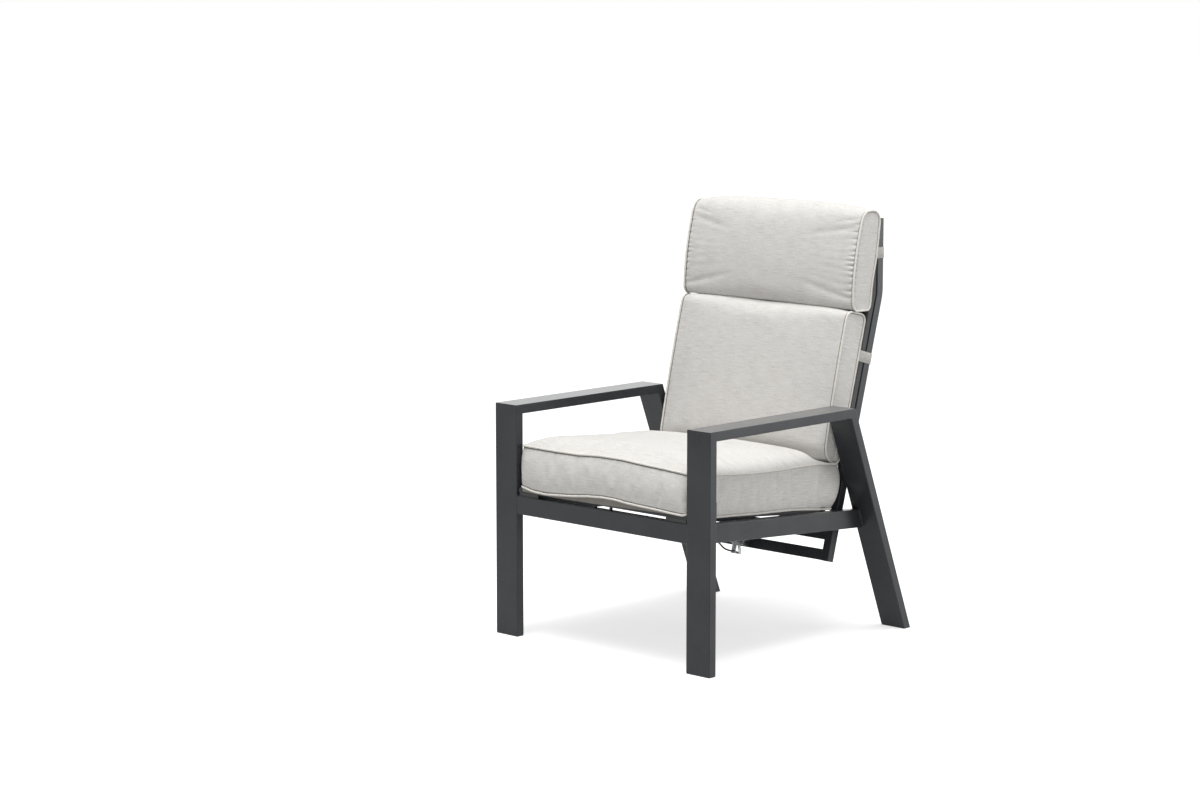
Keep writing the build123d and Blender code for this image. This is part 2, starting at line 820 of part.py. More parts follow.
with BuildPart() as release_lever:
    with BuildSketch(lever_side):
        with Locations((lever_length / 2, 0)):
            SlotCenterToCenter(lever_length, lever_width)
        Circle(lever_pin_radius + pin_running_clearance, mode=Mode.SUBTRACT)
    extrude(amount=cheek_outer, both=True)
    with BuildSketch(lever_side):
        with Locations((lever_length / 2 - lever_web_height, 0)):
            Rectangle(lever_length + lever_width, 2 * lever_width)
    extrude(amount=cheek_inner, both=True, mode=Mode.SUBTRACT)
    with BuildSketch(wire_section_plane(foot_along - lever_width)):
        Circle(wire_slot_radius)
        with Locations((0, -wire_slot_rise / 2)):
            Rectangle(2 * wire_slot_radius, wire_slot_rise)
    extrude(amount=2 * lever_width, mode=Mode.SUBTRACT)
save("release_lever", release_lever)

# Cable stop under the release head, with the cable's ferrule
stop_start = head_start + cable_stop_setback
ferrule_start = stop_start - cable_stop_thickness
with BuildPart() as cable_stop:
    with BuildSketch(spring_section_plane(stop_start)):
        with Locations((0, (head_half_height + cable_stop_drop) / 2)):
            Rectangle(2 * cable_stop_half_width, cable_stop_drop - head_half_height)
    extrude(amount=cable_stop_thickness)
    with BuildSketch(wire_section_plane(ferrule_start)):
        Circle(ferrule_radius)
    extrude(amount=ferrule_length)
    with BuildSketch(wire_section_plane(ferrule_start)):
        Circle(wire_bore)
    extrude(amount=ferrule_length, mode=Mode.SUBTRACT)
save("cable_stop", cable_stop)

nipple_start = foot_along + lever_width / 2 + lever_cheek_gap
with BuildPart() as release_wire:
    with BuildSketch(wire_section_plane(ferrule_start + wire_end_setback)):
        Circle(wire_radius)
    extrude(amount=nipple_start - ferrule_start - wire_end_setback)
    with BuildSketch(wire_section_plane(nipple_start)):
        Circle(nipple_radius)
    extrude(amount=nipple_length)
save("release_wire", release_wire)

# Release cable from the hand lever's housing to the gas spring's front pin, then along the spring
cable_hang = cylinder_radius + clip_band_thickness + cable_radius
cable_level = spring_tube_height - cross_tube_size / 2 - clip_band_thickness - cable_radius
rail_outer = inner_half + rail_thickness
hand_cable_x = rail_outer + hand_box_width / 2
hand_cable_depth = hand_pivot_depth - hand_drum_radius
hand_pivot_height = side_rail_front_bottom + hand_pivot_lift
hand_box_bottom = hand_pivot_height - hand_box_height / 2
cable_start = Vector(hand_cable_x, front_y + hand_cable_depth, hand_box_bottom + hand_box_wall)
cable_low = hand_box_bottom - cable_drop
cable_corner = Vector(hand_cable_x, cable_start.Y, cable_low)
cable_inner = Vector(cable_inner_offset, cable_start.Y, cable_low)
cable_cross = Vector(cable_cross_offset, front_y + cable_cross_depth, cable_level)
cable_middle = Vector(0, front_y + cable_cross_depth, cable_level)
cable_pin_end = spring_place(0, -cable_hang)
cable_rise = (cable_level - cable_pin_end.Z) / spring_direction.Z
cable_bend = cable_pin_end + spring_direction * cable_rise
front_cable_points = [
    cable_start,
    cable_corner,
    cable_inner,
    cable_cross,
    cable_middle,
    cable_bend,
    cable_pin_end,
]
front_cable_radii = [
    cable_corner_radius,
    cable_corner_radius,
    cable_corner_radius,
    cable_corner_radius,
    cable_easy_radius,
]
rear_cable_points = [
    cable_pin_end,
    spring_place(cable_leave_length, -cable_hang),
    spring_place(cable_low_length, wire_level),
    spring_place(ferrule_start, wire_level),
]
rear_cable_radii = [cable_easy_radius, cable_easy_radius]


def cable_part(name, points, radii):
    with BuildPart() as cable:
        with BuildLine() as route:
            FilletPolyline(*points, radius=radii)
        start = (points[1] - points[0]).normalized()
        across = Vector(1, 0, 0) if abs(start.X) < abs(start.Y) + abs(start.Z) else Vector(0, 1, 0)
        with BuildSketch(Plane(points[0], x_dir=across, z_dir=start)):
            Circle(cable_radius)
        sweep(path=route.wires()[0])
    length = route.wires()[0].length
    print(name, "length", round(length, 1), "mm, bend radii", radii)
    save(name, cable)


cable_part("release_cable", front_cable_points, front_cable_radii)
cable_part("release_cable_rear", rear_cable_points, rear_cable_radii)

# Clips that hold the cable under the cross tube and under the cylinder
clip_outer = cable_radius + clip_band_thickness
with BuildPart() as cable_clips:
    tube_bottom = spring_tube_height - cross_tube_size / 2
    for place in (clip_outer_offset, clip_inner_offset):
        clip_middle = Vector(place, front_y + cable_cross_depth, cable_level)
        with BuildSketch(Plane(clip_middle, x_dir=(0, 1, 0), z_dir=(1, 0, 0))):
            Circle(clip_outer)
            with Locations((clip_pad_length / 2, clip_outer - clip_band_thickness / 2)):
                Rectangle(clip_pad_length, clip_band_thickness)
            Circle(cable_radius, mode=Mode.SUBTRACT)
        extrude(amount=clip_width)
save("cable_clips", cable_clips)

with BuildPart() as cylinder_clips:
    for place in (cylinder_clip_front, cylinder_clip_rear):
        with BuildSketch(spring_section_plane(place)):
            Circle(cylinder_radius + clip_band_thickness)
            with Locations((0, cable_hang)):
                Circle(clip_outer)
            Circle(cylinder_radius, mode=Mode.SUBTRACT)
            with Locations((0, cable_hang)):
                Circle(cable_radius, mode=Mode.SUBTRACT)
        extrude(amount=clip_width)
save("cylinder_clips", cylinder_clips)

# Hand lever with its housing and pin, seen from the +X side
hand_side = side_plane(hand_pivot_depth, hand_pivot_height, 0)
hand_box_inner_height = hand_box_height - 2 * hand_box_wall
with BuildPart() as hand_lever_housing:
    with BuildSketch(hand_side.offset(rail_outer)):
        RectangleRounded(hand_box_length, hand_box_height, hand_box_radius)
    extrude(amount=hand_box_width)
    with BuildSketch(hand_side.offset(rail_outer)):
        Rectangle(hand_box_length - 2 * hand_box_wall, hand_box_inner_height)
    extrude(amount=hand_box_width - hand_box_wall, mode=Mode.SUBTRACT)
    with BuildSketch(hand_side.offset(rail_outer)):
        Circle(hand_neck_radius + pin_running_clearance)
    extrude(amount=hand_box_width, mode=Mode.SUBTRACT)
    with BuildSketch(Plane.XY.offset(hand_box_bottom)):
        with Locations((cable_start.X, cable_start.Y)):
            Circle(cable_radius)
    extrude(amount=hand_box_wall, mode=Mode.SUBTRACT)
save("hand_lever_housing", hand_lever_housing)

drum_start = rail_outer + hand_pin_flange + hand_end_clearance
drum_end = rail_outer + hand_box_width - hand_box_wall - hand_end_clearance
arm_start = rail_outer + hand_box_width + hand_end_clearance
arm_end = arm_start + hand_arm_thickness
grip_length = hand_grip_length - hand_arm_width
with BuildPart() as hand_lever:
    with BuildSketch(hand_side.offset(drum_start)):
        Circle(hand_drum_radius)
    extrude(amount=drum_end - drum_start)
    with BuildSketch(hand_side.offset(drum_end)):
        Circle(hand_neck_radius)
    extrude(amount=arm_start - drum_end)
    with BuildSketch(hand_side.offset(arm_start)):
        with Locations((0, hand_arm_length / 2)):
            SlotCenterToCenter(hand_arm_length, hand_arm_width, rotation=90)
    extrude(amount=hand_arm_thickness)
    with BuildSketch(hand_side.offset(arm_start)):
        with Locations((0, hand_arm_length - grip_length / 2)):
            SlotCenterToCenter(grip_length, hand_arm_width, rotation=90)
    extrude(amount=hand_grip_thickness)
    fillet(hand_lever.faces().sort_by(Axis.X)[-1].edges(), radius=hand_grip_radius)
    with BuildSketch(hand_side.offset(drum_start)):
        Circle(hand_pin_radius + pin_running_clearance)
    extrude(amount=arm_end - drum_start, mode=Mode.SUBTRACT)
save("hand_lever", hand_lever)

with BuildPart() as hand_lever_pin:
    with BuildSketch(hand_side.offset(rail_outer)):
        Circle(pin_head_radius)
    extrude(amount=hand_pin_flange)
    with BuildSketch(hand_side.offset(rail_outer)):
        Circle(hand_pin_radius)
    extrude(amount=arm_end + hand_end_clearance - rail_outer)
    with BuildSketch(hand_side.offset(arm_end + hand_end_clearance)):
        Circle(pin_head_radius)
    extrude(amount=hand_pin_flange)
save("hand_lever_pin", hand_lever_pin)

# Straps around the back frame
strap_inner = back_half_width + strap_clearance
strap_back = -half_tube - strap_clearance


def strap_around(side, place):
    """A band round the back frame, drawn square to the frame's side view at the place given."""
    with BuildPart() as strap:
        with BuildSketch(side):
            with Locations((place, (strap_reach + strap_back - strap_thickness) / 2)):
                Rectangle(strap_width, strap_reach - strap_back + strap_thickness)
        extrude(amount=strap_inner + strap_thickness, both=True)
        with BuildSketch(side):
            with Locations((place, (strap_reach + strap_back + cut_overrun) / 2)):
                Rectangle(strap_width, strap_reach - strap_back + cut_overrun)
        extrude(amount=strap_inner, both=True, mode=Mode.SUBTRACT)
    return strap


save("back_strap", strap_around(back_side, back_bend_length - back_strap_below_bend))
upright_side = side_plane(top_tube_depth, 0, 90)
save("head_strap", strap_around(upright_side, back_top_height - head_strap_below_top))


# Cushions, lofted through sections with bowed sides and round corners
def bowed_outline(half_width, near, far, corner, bow):
    """A four-sided outline in a sketch's plane; near and far are its ends along the plane's y."""
    inner_x = half_width - corner
    inner_near = near + corner
    inner_far = far - corner
    middle = (near + far) / 2
    arc_gap = corner * (1 - sin(radians(45)))
    with BuildLine() as outline:
        ThreePointArc((-inner_x, near), (0, near - bow), (inner_x, near))
        ThreePointArc(
            (inner_x, near), (half_width - arc_gap, near + arc_gap), (half_width, inner_near)
        )
        ThreePointArc((half_width, inner_near), (half_width + bow, middle), (half_width, inner_far))
        ThreePointArc(
            (half_width, inner_far), (half_width - arc_gap, far - arc_gap), (inner_x, far)
        )
        ThreePointArc((inner_x, far), (0, far + bow), (-inner_x, far))
        ThreePointArc(
            (-inner_x, far), (arc_gap - half_width, far - arc_gap), (-half_width, inner_far)
        )
        ThreePointArc(
            (-half_width, inner_far), (-half_width - bow, middle), (-half_width, inner_near)
        )
        ThreePointArc(
            (-half_width, inner_near), (arc_gap - half_width, near + arc_gap), (-inner_x, near)
        )
    return outline.edges()


def lofted_cushion(plane_at, sections):
    """Each section gives its place, how far its sides are drawn in, and its near and far ends."""
    with BuildPart() as cushion:
        for place, half_width, near, far, corner in sections:
            with BuildSketch(plane_at(place)):
                make_face(bowed_outline(half_width, near, far, corner, cushion_bow))
        loft(ruled=True)
    return cushion


seat_near = seat_cushion_front_depth - deck_front_depth
seat_far = seat_near + deck_length + seat_cushion_overhang
seat_bottom = sling_thickness + cushion_clearance


def seat_section_plane(height):
    """Parallel to the deck and straight above its front edge, so that the cushion's front is upright."""
    return section_plane(side_point(deck_front_depth, deck_front_height + height), deck_side.y_dir)


def seat_section(height, inset, tuck=0):
    return (
        height,
        seat_cushion_half_width - inset,
        seat_near + inset,
        seat_far - inset - tuck,
        seat_cushion_corner,
    )


seat_sections = [
    seat_section(seat_bottom, cushion_edge_roll, seat_cushion_tuck),
    seat_section(seat_bottom + cushion_edge_roll / 2, cushion_piping_inset, seat_cushion_tuck),
    seat_section(seat_cushion_piping / 2, -seat_cushion_swell),
    seat_section(seat_cushion_piping - cushion_edge_roll / 2, cushion_piping_inset),
    seat_section(seat_cushion_piping, cushion_edge_roll),
    seat_section(seat_cushion_piping + seat_cushion_crown * cushion_low_share, cushion_crown_inset),
    seat_section(
        seat_cushion_piping + seat_cushion_crown * cushion_shoulder_share, cushion_shoulder_inset
    ),
    seat_section(seat_cushion_piping + seat_cushion_crown, cushion_flat_inset),
]
save("seat_cushion", lofted_cushion(seat_section_plane, seat_sections))

# The back cushion's sections lie square to the back tubes, the head cushion's lie level
back_far = -keder_front - sling_thickness - cushion_clearance - cushion_bow
back_near = back_far - back_cushion_thickness
back_cushion_top = back_bend_length - back_cushion_below_bend


def back_section(length, inset, crown):
    return (
        length,
        back_cushion_half_width - inset,
        back_near - crown + inset,
        back_far - inset,
        back_cushion_corner,
    )


back_sections = [
    back_section(back_cushion_bottom, back_cushion_corner, 0),
    back_section(back_cushion_bottom + cushion_edge_roll, cushion_piping_inset, 0),
    back_section(back_cushion_bottom + cushion_crown_inset * 2, 0, back_cushion_crown / 2),
    back_section(back_cushion_top - cushion_crown_inset * 2, 0, back_cushion_crown),
    back_section(back_cushion_top - cushion_edge_roll, cushion_piping_inset, back_cushion_crown / 2),
    back_section(back_cushion_top, back_cushion_corner, 0),
]
save("back_cushion", lofted_cushion(back_section_plane, back_sections))

head_far = top_tube_depth + back_far
head_cushion_top = back_top_height + head_cushion_rise
head_cushion_bottom = head_cushion_top - head_cushion_height
head_front_run = head_cushion_bottom_reach - head_cushion_top_reach


def head_section(height, inset, crown):
    share = (height - head_cushion_bottom) / head_cushion_height
    front = top_tube_depth - head_cushion_bottom_reach + head_front_run * share
    return (
        height,
        head_cushion_half_width - inset,
        front_y + front - crown + inset,
        front_y + head_far - inset,
        head_cushion_corner,
    )


head_sections = [
    head_section(head_cushion_bottom, back_cushion_corner, 0),
    head_section(head_cushion_bottom + cushion_edge_roll, cushion_edge_roll, 0),
    head_section(head_cushion_bottom + cushion_crown_inset * 2, 0, head_cushion_crown),
    head_section(head_cushion_top - cushion_crown_inset * 2, 0, head_cushion_crown),
    head_section(head_cushion_top - cushion_edge_roll, cushion_piping_inset, 0),
    head_section(head_cushion_top, back_cushion_corner, 0),
]
save("head_cushion", lofted_cushion(Plane.XY.offset, head_sections))
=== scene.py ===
"""The looks of a reclining garden armchair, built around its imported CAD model."""

from math import cos, pi, radians, sin, tan

import bmesh
import bpy
import numpy as np
from mathutils import Matrix, Vector
from numpy.linalg import norm


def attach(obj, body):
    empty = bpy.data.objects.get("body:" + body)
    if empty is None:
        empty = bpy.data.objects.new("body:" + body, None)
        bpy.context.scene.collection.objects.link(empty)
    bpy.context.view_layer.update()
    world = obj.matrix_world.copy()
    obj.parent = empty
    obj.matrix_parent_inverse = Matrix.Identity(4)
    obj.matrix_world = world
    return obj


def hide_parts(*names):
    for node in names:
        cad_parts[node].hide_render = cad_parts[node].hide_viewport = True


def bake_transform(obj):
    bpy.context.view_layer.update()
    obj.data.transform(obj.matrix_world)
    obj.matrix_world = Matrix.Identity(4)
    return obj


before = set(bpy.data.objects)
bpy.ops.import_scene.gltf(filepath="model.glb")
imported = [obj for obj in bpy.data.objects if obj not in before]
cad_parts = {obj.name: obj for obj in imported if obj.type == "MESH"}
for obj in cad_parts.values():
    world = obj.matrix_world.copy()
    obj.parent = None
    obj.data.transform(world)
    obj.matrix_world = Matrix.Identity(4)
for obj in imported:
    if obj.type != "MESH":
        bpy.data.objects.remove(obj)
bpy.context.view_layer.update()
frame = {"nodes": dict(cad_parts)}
nodes = frame["nodes"]
scene = bpy.context.scene
random = np.random.default_rng(7)

# The part's own sizes, in millimetres as in its source, and the metre that the scene is in
MM = 0.001
LEGS_FRONT = 412.5
PIVOT_DEPTH, PIVOT_HEIGHT = 617.0, 319.0
BACK_LEAN = radians(15.7)
BEND_LENGTH = 618.06
BEND_RADIUS = 120.0
BACK_TOP = 1113.5
UPRIGHT_DEPTH = 784.25
SLING_FRONT = 36.1
DECK_FRONT_DEPTH, DECK_FRONT_HEIGHT = 5.0, 408.0
DECK_SLOPE = radians(5.4)
SPRING_FRONT = (192.0, 332.0)
SPRING_ANGLE = radians(-15.835)
# How far a cushion's cover stays before the sling, and half the width in which the sling stops it
COVER_GAP = 1.6
COVER_HALF_WIDTH = 298.5

# The camera, from a fit to the straight edges of the side frames in the photograph
CAMERA_PLACE = (5.2914, -5.9235, 1.7776)
CAMERA_YAW, CAMERA_PITCH, CAMERA_ROLL = radians(43.8197), radians(8.2031), radians(-0.0254)
CAMERA_LENS, CAMERA_SENSOR, CAMERA_REACH = 89.43, 36, 100

# Cushions: the piping, the rows from which a strip's weave runs upright, the foam's push on the covers,
# and each cover's spare cloth and largest move
PIPING_RADIUS = 2.8 * MM
PIPING_LIFT = 1.3
UPRIGHT_ROWS = 40
FOAM_FRAMES = 20
CLOTH_SETTINGS = {
    "quality": 5, "mass": 0.3, "tension_stiffness": 18, "compression_stiffness": 14,
    "shear_stiffness": 6, "bending_stiffness": 1.2, "air_damping": 4,
    "vertex_group_mass": "held", "use_pressure": True, "uniform_pressure_force": 3.0,
}
SEAT_CLOTH, BACK_CLOTH, HEAD_CLOTH = (0.009, 9 * MM), (0.001, 8 * MM), (0.0, 5 * MM)

# The seat cushion: its grid, half its width, and its seams' depths and heights
SEAT_COUNTS, SEAT_ROWS = (80, 78, 80, 78), 14
SEAT_HALF = 303
SEAT_TOP_FRONT, SEAT_TOP_REAR = 20, 613
SEAT_LOW_FRONT, SEAT_LOW_REAR = 8, 592
# In plan, how round each seam's four corners are and how far its four sides bow out
SEAT_TOP_FORM = ((8, 12, 22, 22), (-1, -2, 0, -2))
SEAT_LOW_FORM = ((24, 24, 28, 28), (-1, 2.5, 0, 2.5))
SEAM_TOP_SIDE = [
    (22, 510.5), (60, 507), (126, 498.6), (194, 491.9), (270, 485.5), (352, 482), (420, 481.4),
    (474, 480.5), (530, 477.5), (612, 468),
]
SEAM_TOP_FRONT = [
    (-299, 519), (-173, 517.4), (-94, 518), (-20, 523), (60, 523), (136, 518.6), (210, 515.5),
    (277, 511.5), (299, 510.5),
]
SEAM_LOW_FRONT = [
    (-303, 413), (-281, 411), (-250, 406), (-199, 403.5), (-147, 407), (-95, 411), (-44, 417),
    (8, 420.5), (53, 420.5), (95, 416.5), (140, 414.5), (200, 412.5), (249, 410), (303, 408),
]
SEAM_LOW_SIDE = [
    (8, 405), (40, 399), (120, 389.5), (188, 385.5), (264, 379.5), (346, 375), (414, 370.5),
    (468, 364.5), (525, 357), (590, 350.5),
]
SEAM_LOW_FORWARD = [(-303, 8), (-270, 4), (-235, 0.5), (303, 0.5)]
SEAM_FORWARD_UNTIL = 40
SEAM_TOP_LEFT_RISE = [
    (20, 0), (45, 4), (90, 1), (217, 4), (327, 6), (411, 1.5), (491, -3), (560, -4),
]
SEAT_REAR_CROWN, SEAT_FRONT_CROWN, SEAT_SIDE_CROWN = 15.0, 6.0, 3.5
SEAT_CROWN = 14.0
SEAT_SHOULDER = 24.0
SEAT_SHOULDER_REACHES = (55.0, 130.0, 100.0, 60.0)
# The fold that the seat's underside makes before the deck's front bar
LIP_EDGE = [
    (-303, 400), (-280, 399), (-250, 398), (-145, 397), (15, 398.5), (86, 400.5), (165, 402.5),
    (226, 404), (274, 405.5), (303, 406),
]
LIP_DROPS = [(2.4, 0.18), (2.8, 0.5), (2.9, 0.85), (3.1, 1.0)]
LIP_RISES = [(3.5, 2.0), (3.7, 8.0), (5.5, 11.5)]
LIP_END = 9
# Painted shade: how many rows of the seat's underside fold are darkened, as it faces down under the piping
PAINTED_SHADE_ROWS = 8
# Painted shade: beyond this half width the seam creases are darkened less, since more light falls on the
# side strips
WEAK_CREASE_SHADE_BEYOND = 297

# Where the deck holds the seat cushion up: half width, front and rear; and how far above the deck
DECK_AREA = (303.6, 3.9, 557)
DECK_GAP = 1.8
SEAT_UNDER_BACK = 138.5
UNDER_BACK_HALF, UNDER_BACK_FORWARD = 300, 127

# The back cushion's end seams, as distances up the back tubes and forward of them
BACK_COUNTS, BACK_ROWS = (11, 54, 11, 54), 76
BACK_SEAM_LEFT = [(141.5, 44), (141, 104), (545, 120), (548, 47)]
BACK_SEAM_RIGHT = [(141.5, 44), (141, 104), (549, 121), (553, 44)]
BACK_LOW_REACH_LEFT, BACK_LOW_REACH_RIGHT = 48, 26
BACK_HALF_FRONT, BACK_HALF_REAR = 295, 299
# How far its strip stands out before and behind, and above and below; and its end panels
BACK_CROWNS, BACK_END_CROWN = (15.0, 0.0), 6.0
BACK_PANEL_CROWN = 4.5

# The head cushion's end seam in depth and height, its corners, and half its width before and behind
HEAD_COUNTS, HEAD_ROWS = (64, 14, 64, 14), 80
HEAD_SEAM = [
    (684, 877), (664, 893), (663, 925), (666, 962), (671, 1000), (678, 1037), (688, 1080),
    (698, 1115), (712, 1134), (732, 1139), (752, 1135), (764, 1116), (760, 1075), (754, 1034),
    (748, 1000), (742, 977), (734, 940), (730, 908), (724, 884), (706, 875),
]
HEAD_CORNERS = ((668, 884), (704, 1127), (760, 1126), (725, 886))
HEAD_BACK_REACH = 308.0
HEAD_FRONT_REACH = 302.0
HEAD_LEFT_DROP = 5.0
HEAD_FLOOR = 880.5
# How far its strip stands out before, above and behind, and below; and its end panels
HEAD_CROWNS, HEAD_LOW_CROWN = (15.0, 16.5, 0.0), 3.0
HEAD_PANEL_CROWN = 4.0
# The gathers at its ends: their heights, how far back and how far in they run, and their depths
GATHER_LOW, GATHER_HIGH = 893, 1120
GATHER_BEFORE, GATHER_BEYOND = 712, 250
GATHER_LEFT, GATHER_RIGHT = 6.5, 2.5

# The slings: half widths, the turn down their side rails, and their ends
BACK_SLING_HALF, BACK_SLING_START, BACK_SLING_END = 297.4, 174, BACK_TOP - 0.5
BACK_SLING_TURN = 18.5
SEAT_SLING_HALF, SEAT_SLING_FRONT, SEAT_SLING_REAR = 302.6, 34, 527
# How far the seat's mesh lies above the deck's line and, where it is turned under, below it
SEAT_SLING_ABOVE, SEAT_SLING_BELOW = 0.6, 12.7

# The straps, and how far they lie up the back tubes and above the floor
STRAP_WIDTH = 30.0
STRAP_HALF_THICKNESS = 0.7
BACK_STRAP_LENGTH = BEND_LENGTH - 179
HEAD_STRAP_HEIGHT = BACK_TOP - 89.5

# The release cable: points across, rearward and up, then along the gas spring and above it
CABLE_RADIUS = 2.5
CABLE_JOINT = (0, 187.9, 317.6)
FRONT_CABLE = [
    (340, 35, 340), (340, 35, 322), (338, 36, 309), (322, 35, 308), (276, 35, 308), (248, 90, 314),
    (222, 143, 321), (190, 145, 321), (115, 145, 321), (45, 145, 321), (10, 145, 321), (0, 150, 321),
    (0, 176, 321), CABLE_JOINT,
]
REAR_CABLE = [
    (34, -15), (154, -15), (270, -15), (292, -17), (318, -31), (340, -34), (357.2, -34.02),
]
CABLE_BEND_START, CABLE_BEND_END = (170, -15), (352, -34)

# Weld beads on the left: names and ends. The right side has the same, mirrored
BEAD_RADIUS, CROSSBAR_BEAD_RADIUS = 2.3, 1.8
FRAME_BEADS = [
    ("rail_front", (330.6, 25.3, 333.5), (330.6, 25.3, 383.6)),
    ("rail_rear", (330.6, 683.4, 290.8), (330.6, 663.4, 341.4)),
    ("rail_top", (308, 663.2, 341.6), (330.6, 663.2, 341.6)),
    ("front_rail_top", (305.8, 3, 386), (305.8, 24, 386)),
    ("front_rail_back", (305.8, 25.8, 338), (305.8, 25.8, 384)),
]
CROSSBAR_BEAD_X = 272.8
CROSSBARS = (("upper", 47.4), ("lower", 103.4))

# Plain finishes: dark and light shades, lowest and highest roughness, and the grain or the brushing
MOULDINGS = [
    ("black_plastic", (24, 24, 25), (36, 36, 37), 0.42, 0.6, 700.0),
    ("natural_nylon", (205, 199, 184), (222, 217, 204), 0.35, 0.5, 700.0),
    ("cable_jacket", (18, 18, 19), (28, 28, 29), 0.3, 0.45, 420.0),
]
METALS = [
    ("zinc_steel", (128, 130, 132), (190, 192, 193), 0.26, 0.42, (240, 240, 240), {"Metallic": 1.0}),
    ("chrome_rod", (206, 208, 211), (232, 233, 235), 0.07, 0.14, (900, 40, 900), {"Metallic": 1.0}),
    ("black_steel", (20, 20, 21), (32, 32, 33), 0.24, 0.36, (300, 60, 300), {"Coat_Weight": 0.4}),
]

# Light: the world's share, and each lamp's name, place, aim, size and power
WORLD_LIGHT = 0.4
LAMPS = [
    ("overhead", (0.8, -1.3, 8.0), (0, -0.2, 0.5), 4.5, 720),
    ("right_rear", (9.0, 8.5, 1.2), (0, 0, 0.4), 4.5, 600),
]


def at(x, depth, height):
    """A point in metres, from millimetres across, rearward of the front legs and up."""
    return np.array([x, depth - LEGS_FRONT, height]) * MM


def on_back(x, along, forward):
    """A point that leans with the back tubes: so far up them from the pivot, and forward of them."""
    depth = PIVOT_DEPTH + along * sin(BACK_LEAN) - forward * cos(BACK_LEAN)
    height = PIVOT_HEIGHT + along * cos(BACK_LEAN) + forward * sin(BACK_LEAN)
    return at(x, depth, height)


def in_back(points):
    """How far points in metres lie up the back tubes from the pivot, and forward of them."""
    away = points - on_back(0, 0, 0)
    along = away[:, 1] * sin(BACK_LEAN) + away[:, 2] * cos(BACK_LEAN)
    forward = away[:, 2] * sin(BACK_LEAN) - away[:, 1] * cos(BACK_LEAN)
    return along, forward


def on_spring(x, along, above):
    """A point in the gas spring's own run: so far from its front pin, and above its middle line."""
    depth = SPRING_FRONT[0] + along * cos(SPRING_ANGLE) - above * sin(SPRING_ANGLE)
    height = SPRING_FRONT[1] + along * sin(SPRING_ANGLE) + above * cos(SPRING_ANGLE)
    return at(x, depth, height)


def deck_height(depth):
    return DECK_FRONT_HEIGHT - (depth - DECK_FRONT_DEPTH) * tan(DECK_SLOPE)


# Camera at the photograph's viewing angle
def add_camera():
    ahead, drop = cos(CAMERA_PITCH), sin(CAMERA_PITCH)
    forward = Vector((-sin(CAMERA_YAW) * ahead, cos(CAMERA_YAW) * ahead, -drop))
    level = Vector((cos(CAMERA_YAW), sin(CAMERA_YAW), 0))
    above = level.cross(forward)
    right = level * cos(CAMERA_ROLL) + above * sin(CAMERA_ROLL)
    up = above * cos(CAMERA_ROLL) - level * sin(CAMERA_ROLL)
    camera = bpy.data.objects.new("camera", bpy.data.cameras.new("camera"))
    camera.data.lens = CAMERA_LENS
    camera.data.sensor_width = CAMERA_SENSOR
    camera.data.clip_end = CAMERA_REACH
    turn = Matrix((right, up, -forward)).transposed().to_4x4()
    camera.matrix_world = Matrix.Translation(CAMERA_PLACE) @ turn
    scene.collection.objects.link(camera)
    scene.camera = camera


# Node helpers
MIX_FIRST, MIX_SECOND, MIX_RESULT = 6, 7, 2
FINISHES = {}


class Nodes:
    """A node tree, with short calls for the nodes that are used below."""

    def __init__(self, tree):
        self.tree = tree

    def node(self, kind, links=None, **settings):
        made = self.tree.nodes.new(kind)
        for key, value in settings.items():
            setattr(made, key, value)
        for socket, value in (links or {}).items():
            self.feed(made.inputs[socket], value)
        return made

    def feed(self, socket, value):
        if isinstance(value, bpy.types.NodeSocket):
            self.tree.links.new(value, socket)
        else:
            socket.default_value = value

    def place(self, uv):
        if uv:
            return self.node("ShaderNodeUVMap", uv_map="UVMap").outputs["UV"]
        return self.node("ShaderNodeTexCoord").outputs["Object"]

    def parts(self, vector):
        split = self.node("ShaderNodeSeparateXYZ", {"Vector": vector})
        return split.outputs["X"], split.outputs["Y"]

    def attribute(self, name):
        return self.node("ShaderNodeAttribute", attribute_name=name).outputs["Fac"]

    def noise(self, place, scale, detail=2.0, roughness=0.5):
        links = {"Vector": place, "Scale": scale, "Detail": detail, "Roughness": roughness}
        return self.node("ShaderNodeTexNoise", links).outputs["Fac"]

    def streaks(self, place, scale, detail=2.0, roughness=0.5):
        """Noise that is stretched differently along each axis."""
        mapped = self.node("ShaderNodeMapping", {"Vector": place, "Scale": scale})
        return self.noise(mapped.outputs["Vector"], 1.0, detail, roughness)

    def math(self, operation, first, second=0.0):
        made = self.node("ShaderNodeMath", {0: first, 1: second}, operation=operation)
        return made.outputs["Value"]

    def wave(self, run, pitch):
        return self.math("SINE", self.math("MULTIPLY", run, 2 * pi / pitch))

    def ramp(self, value, low, high, start=0.0, end=1.0):
        links = {"Value": value, "From Min": low, "From Max": high, "To Min": start, "To Max": end}
        return self.node("ShaderNodeMapRange", links).outputs["Result"]

    def tint(self, share, first, second):
        links = {"Factor": share, MIX_FIRST: linear(first), MIX_SECOND: linear(second)}
        return self.node("ShaderNodeMix", links, data_type="RGBA").outputs[MIX_RESULT]

    def shades(self, pattern, dark, light):
        """A noise pattern in two colours."""
        return self.tint(self.ramp(pattern, 0.3, 0.7), dark, light)

    def bump(self, height, strength, distance, under=None):
        links = {"Height": height, "Strength": strength, "Distance": distance}
        if under is not None:
            links["Normal"] = under
        return self.node("ShaderNodeBump", links).outputs["Normal"]

    def background_rays(self):
        """1 for the rays that see the background, in the picture or in a gloss, and 0 for the light."""
        path = self.node("ShaderNodeLightPath").outputs
        seen = self.math("MAXIMUM", path["Is Camera Ray"], path["Is Glossy Ray"])
        return self.math("MAXIMUM", seen, path["Is Transmission Ray"])


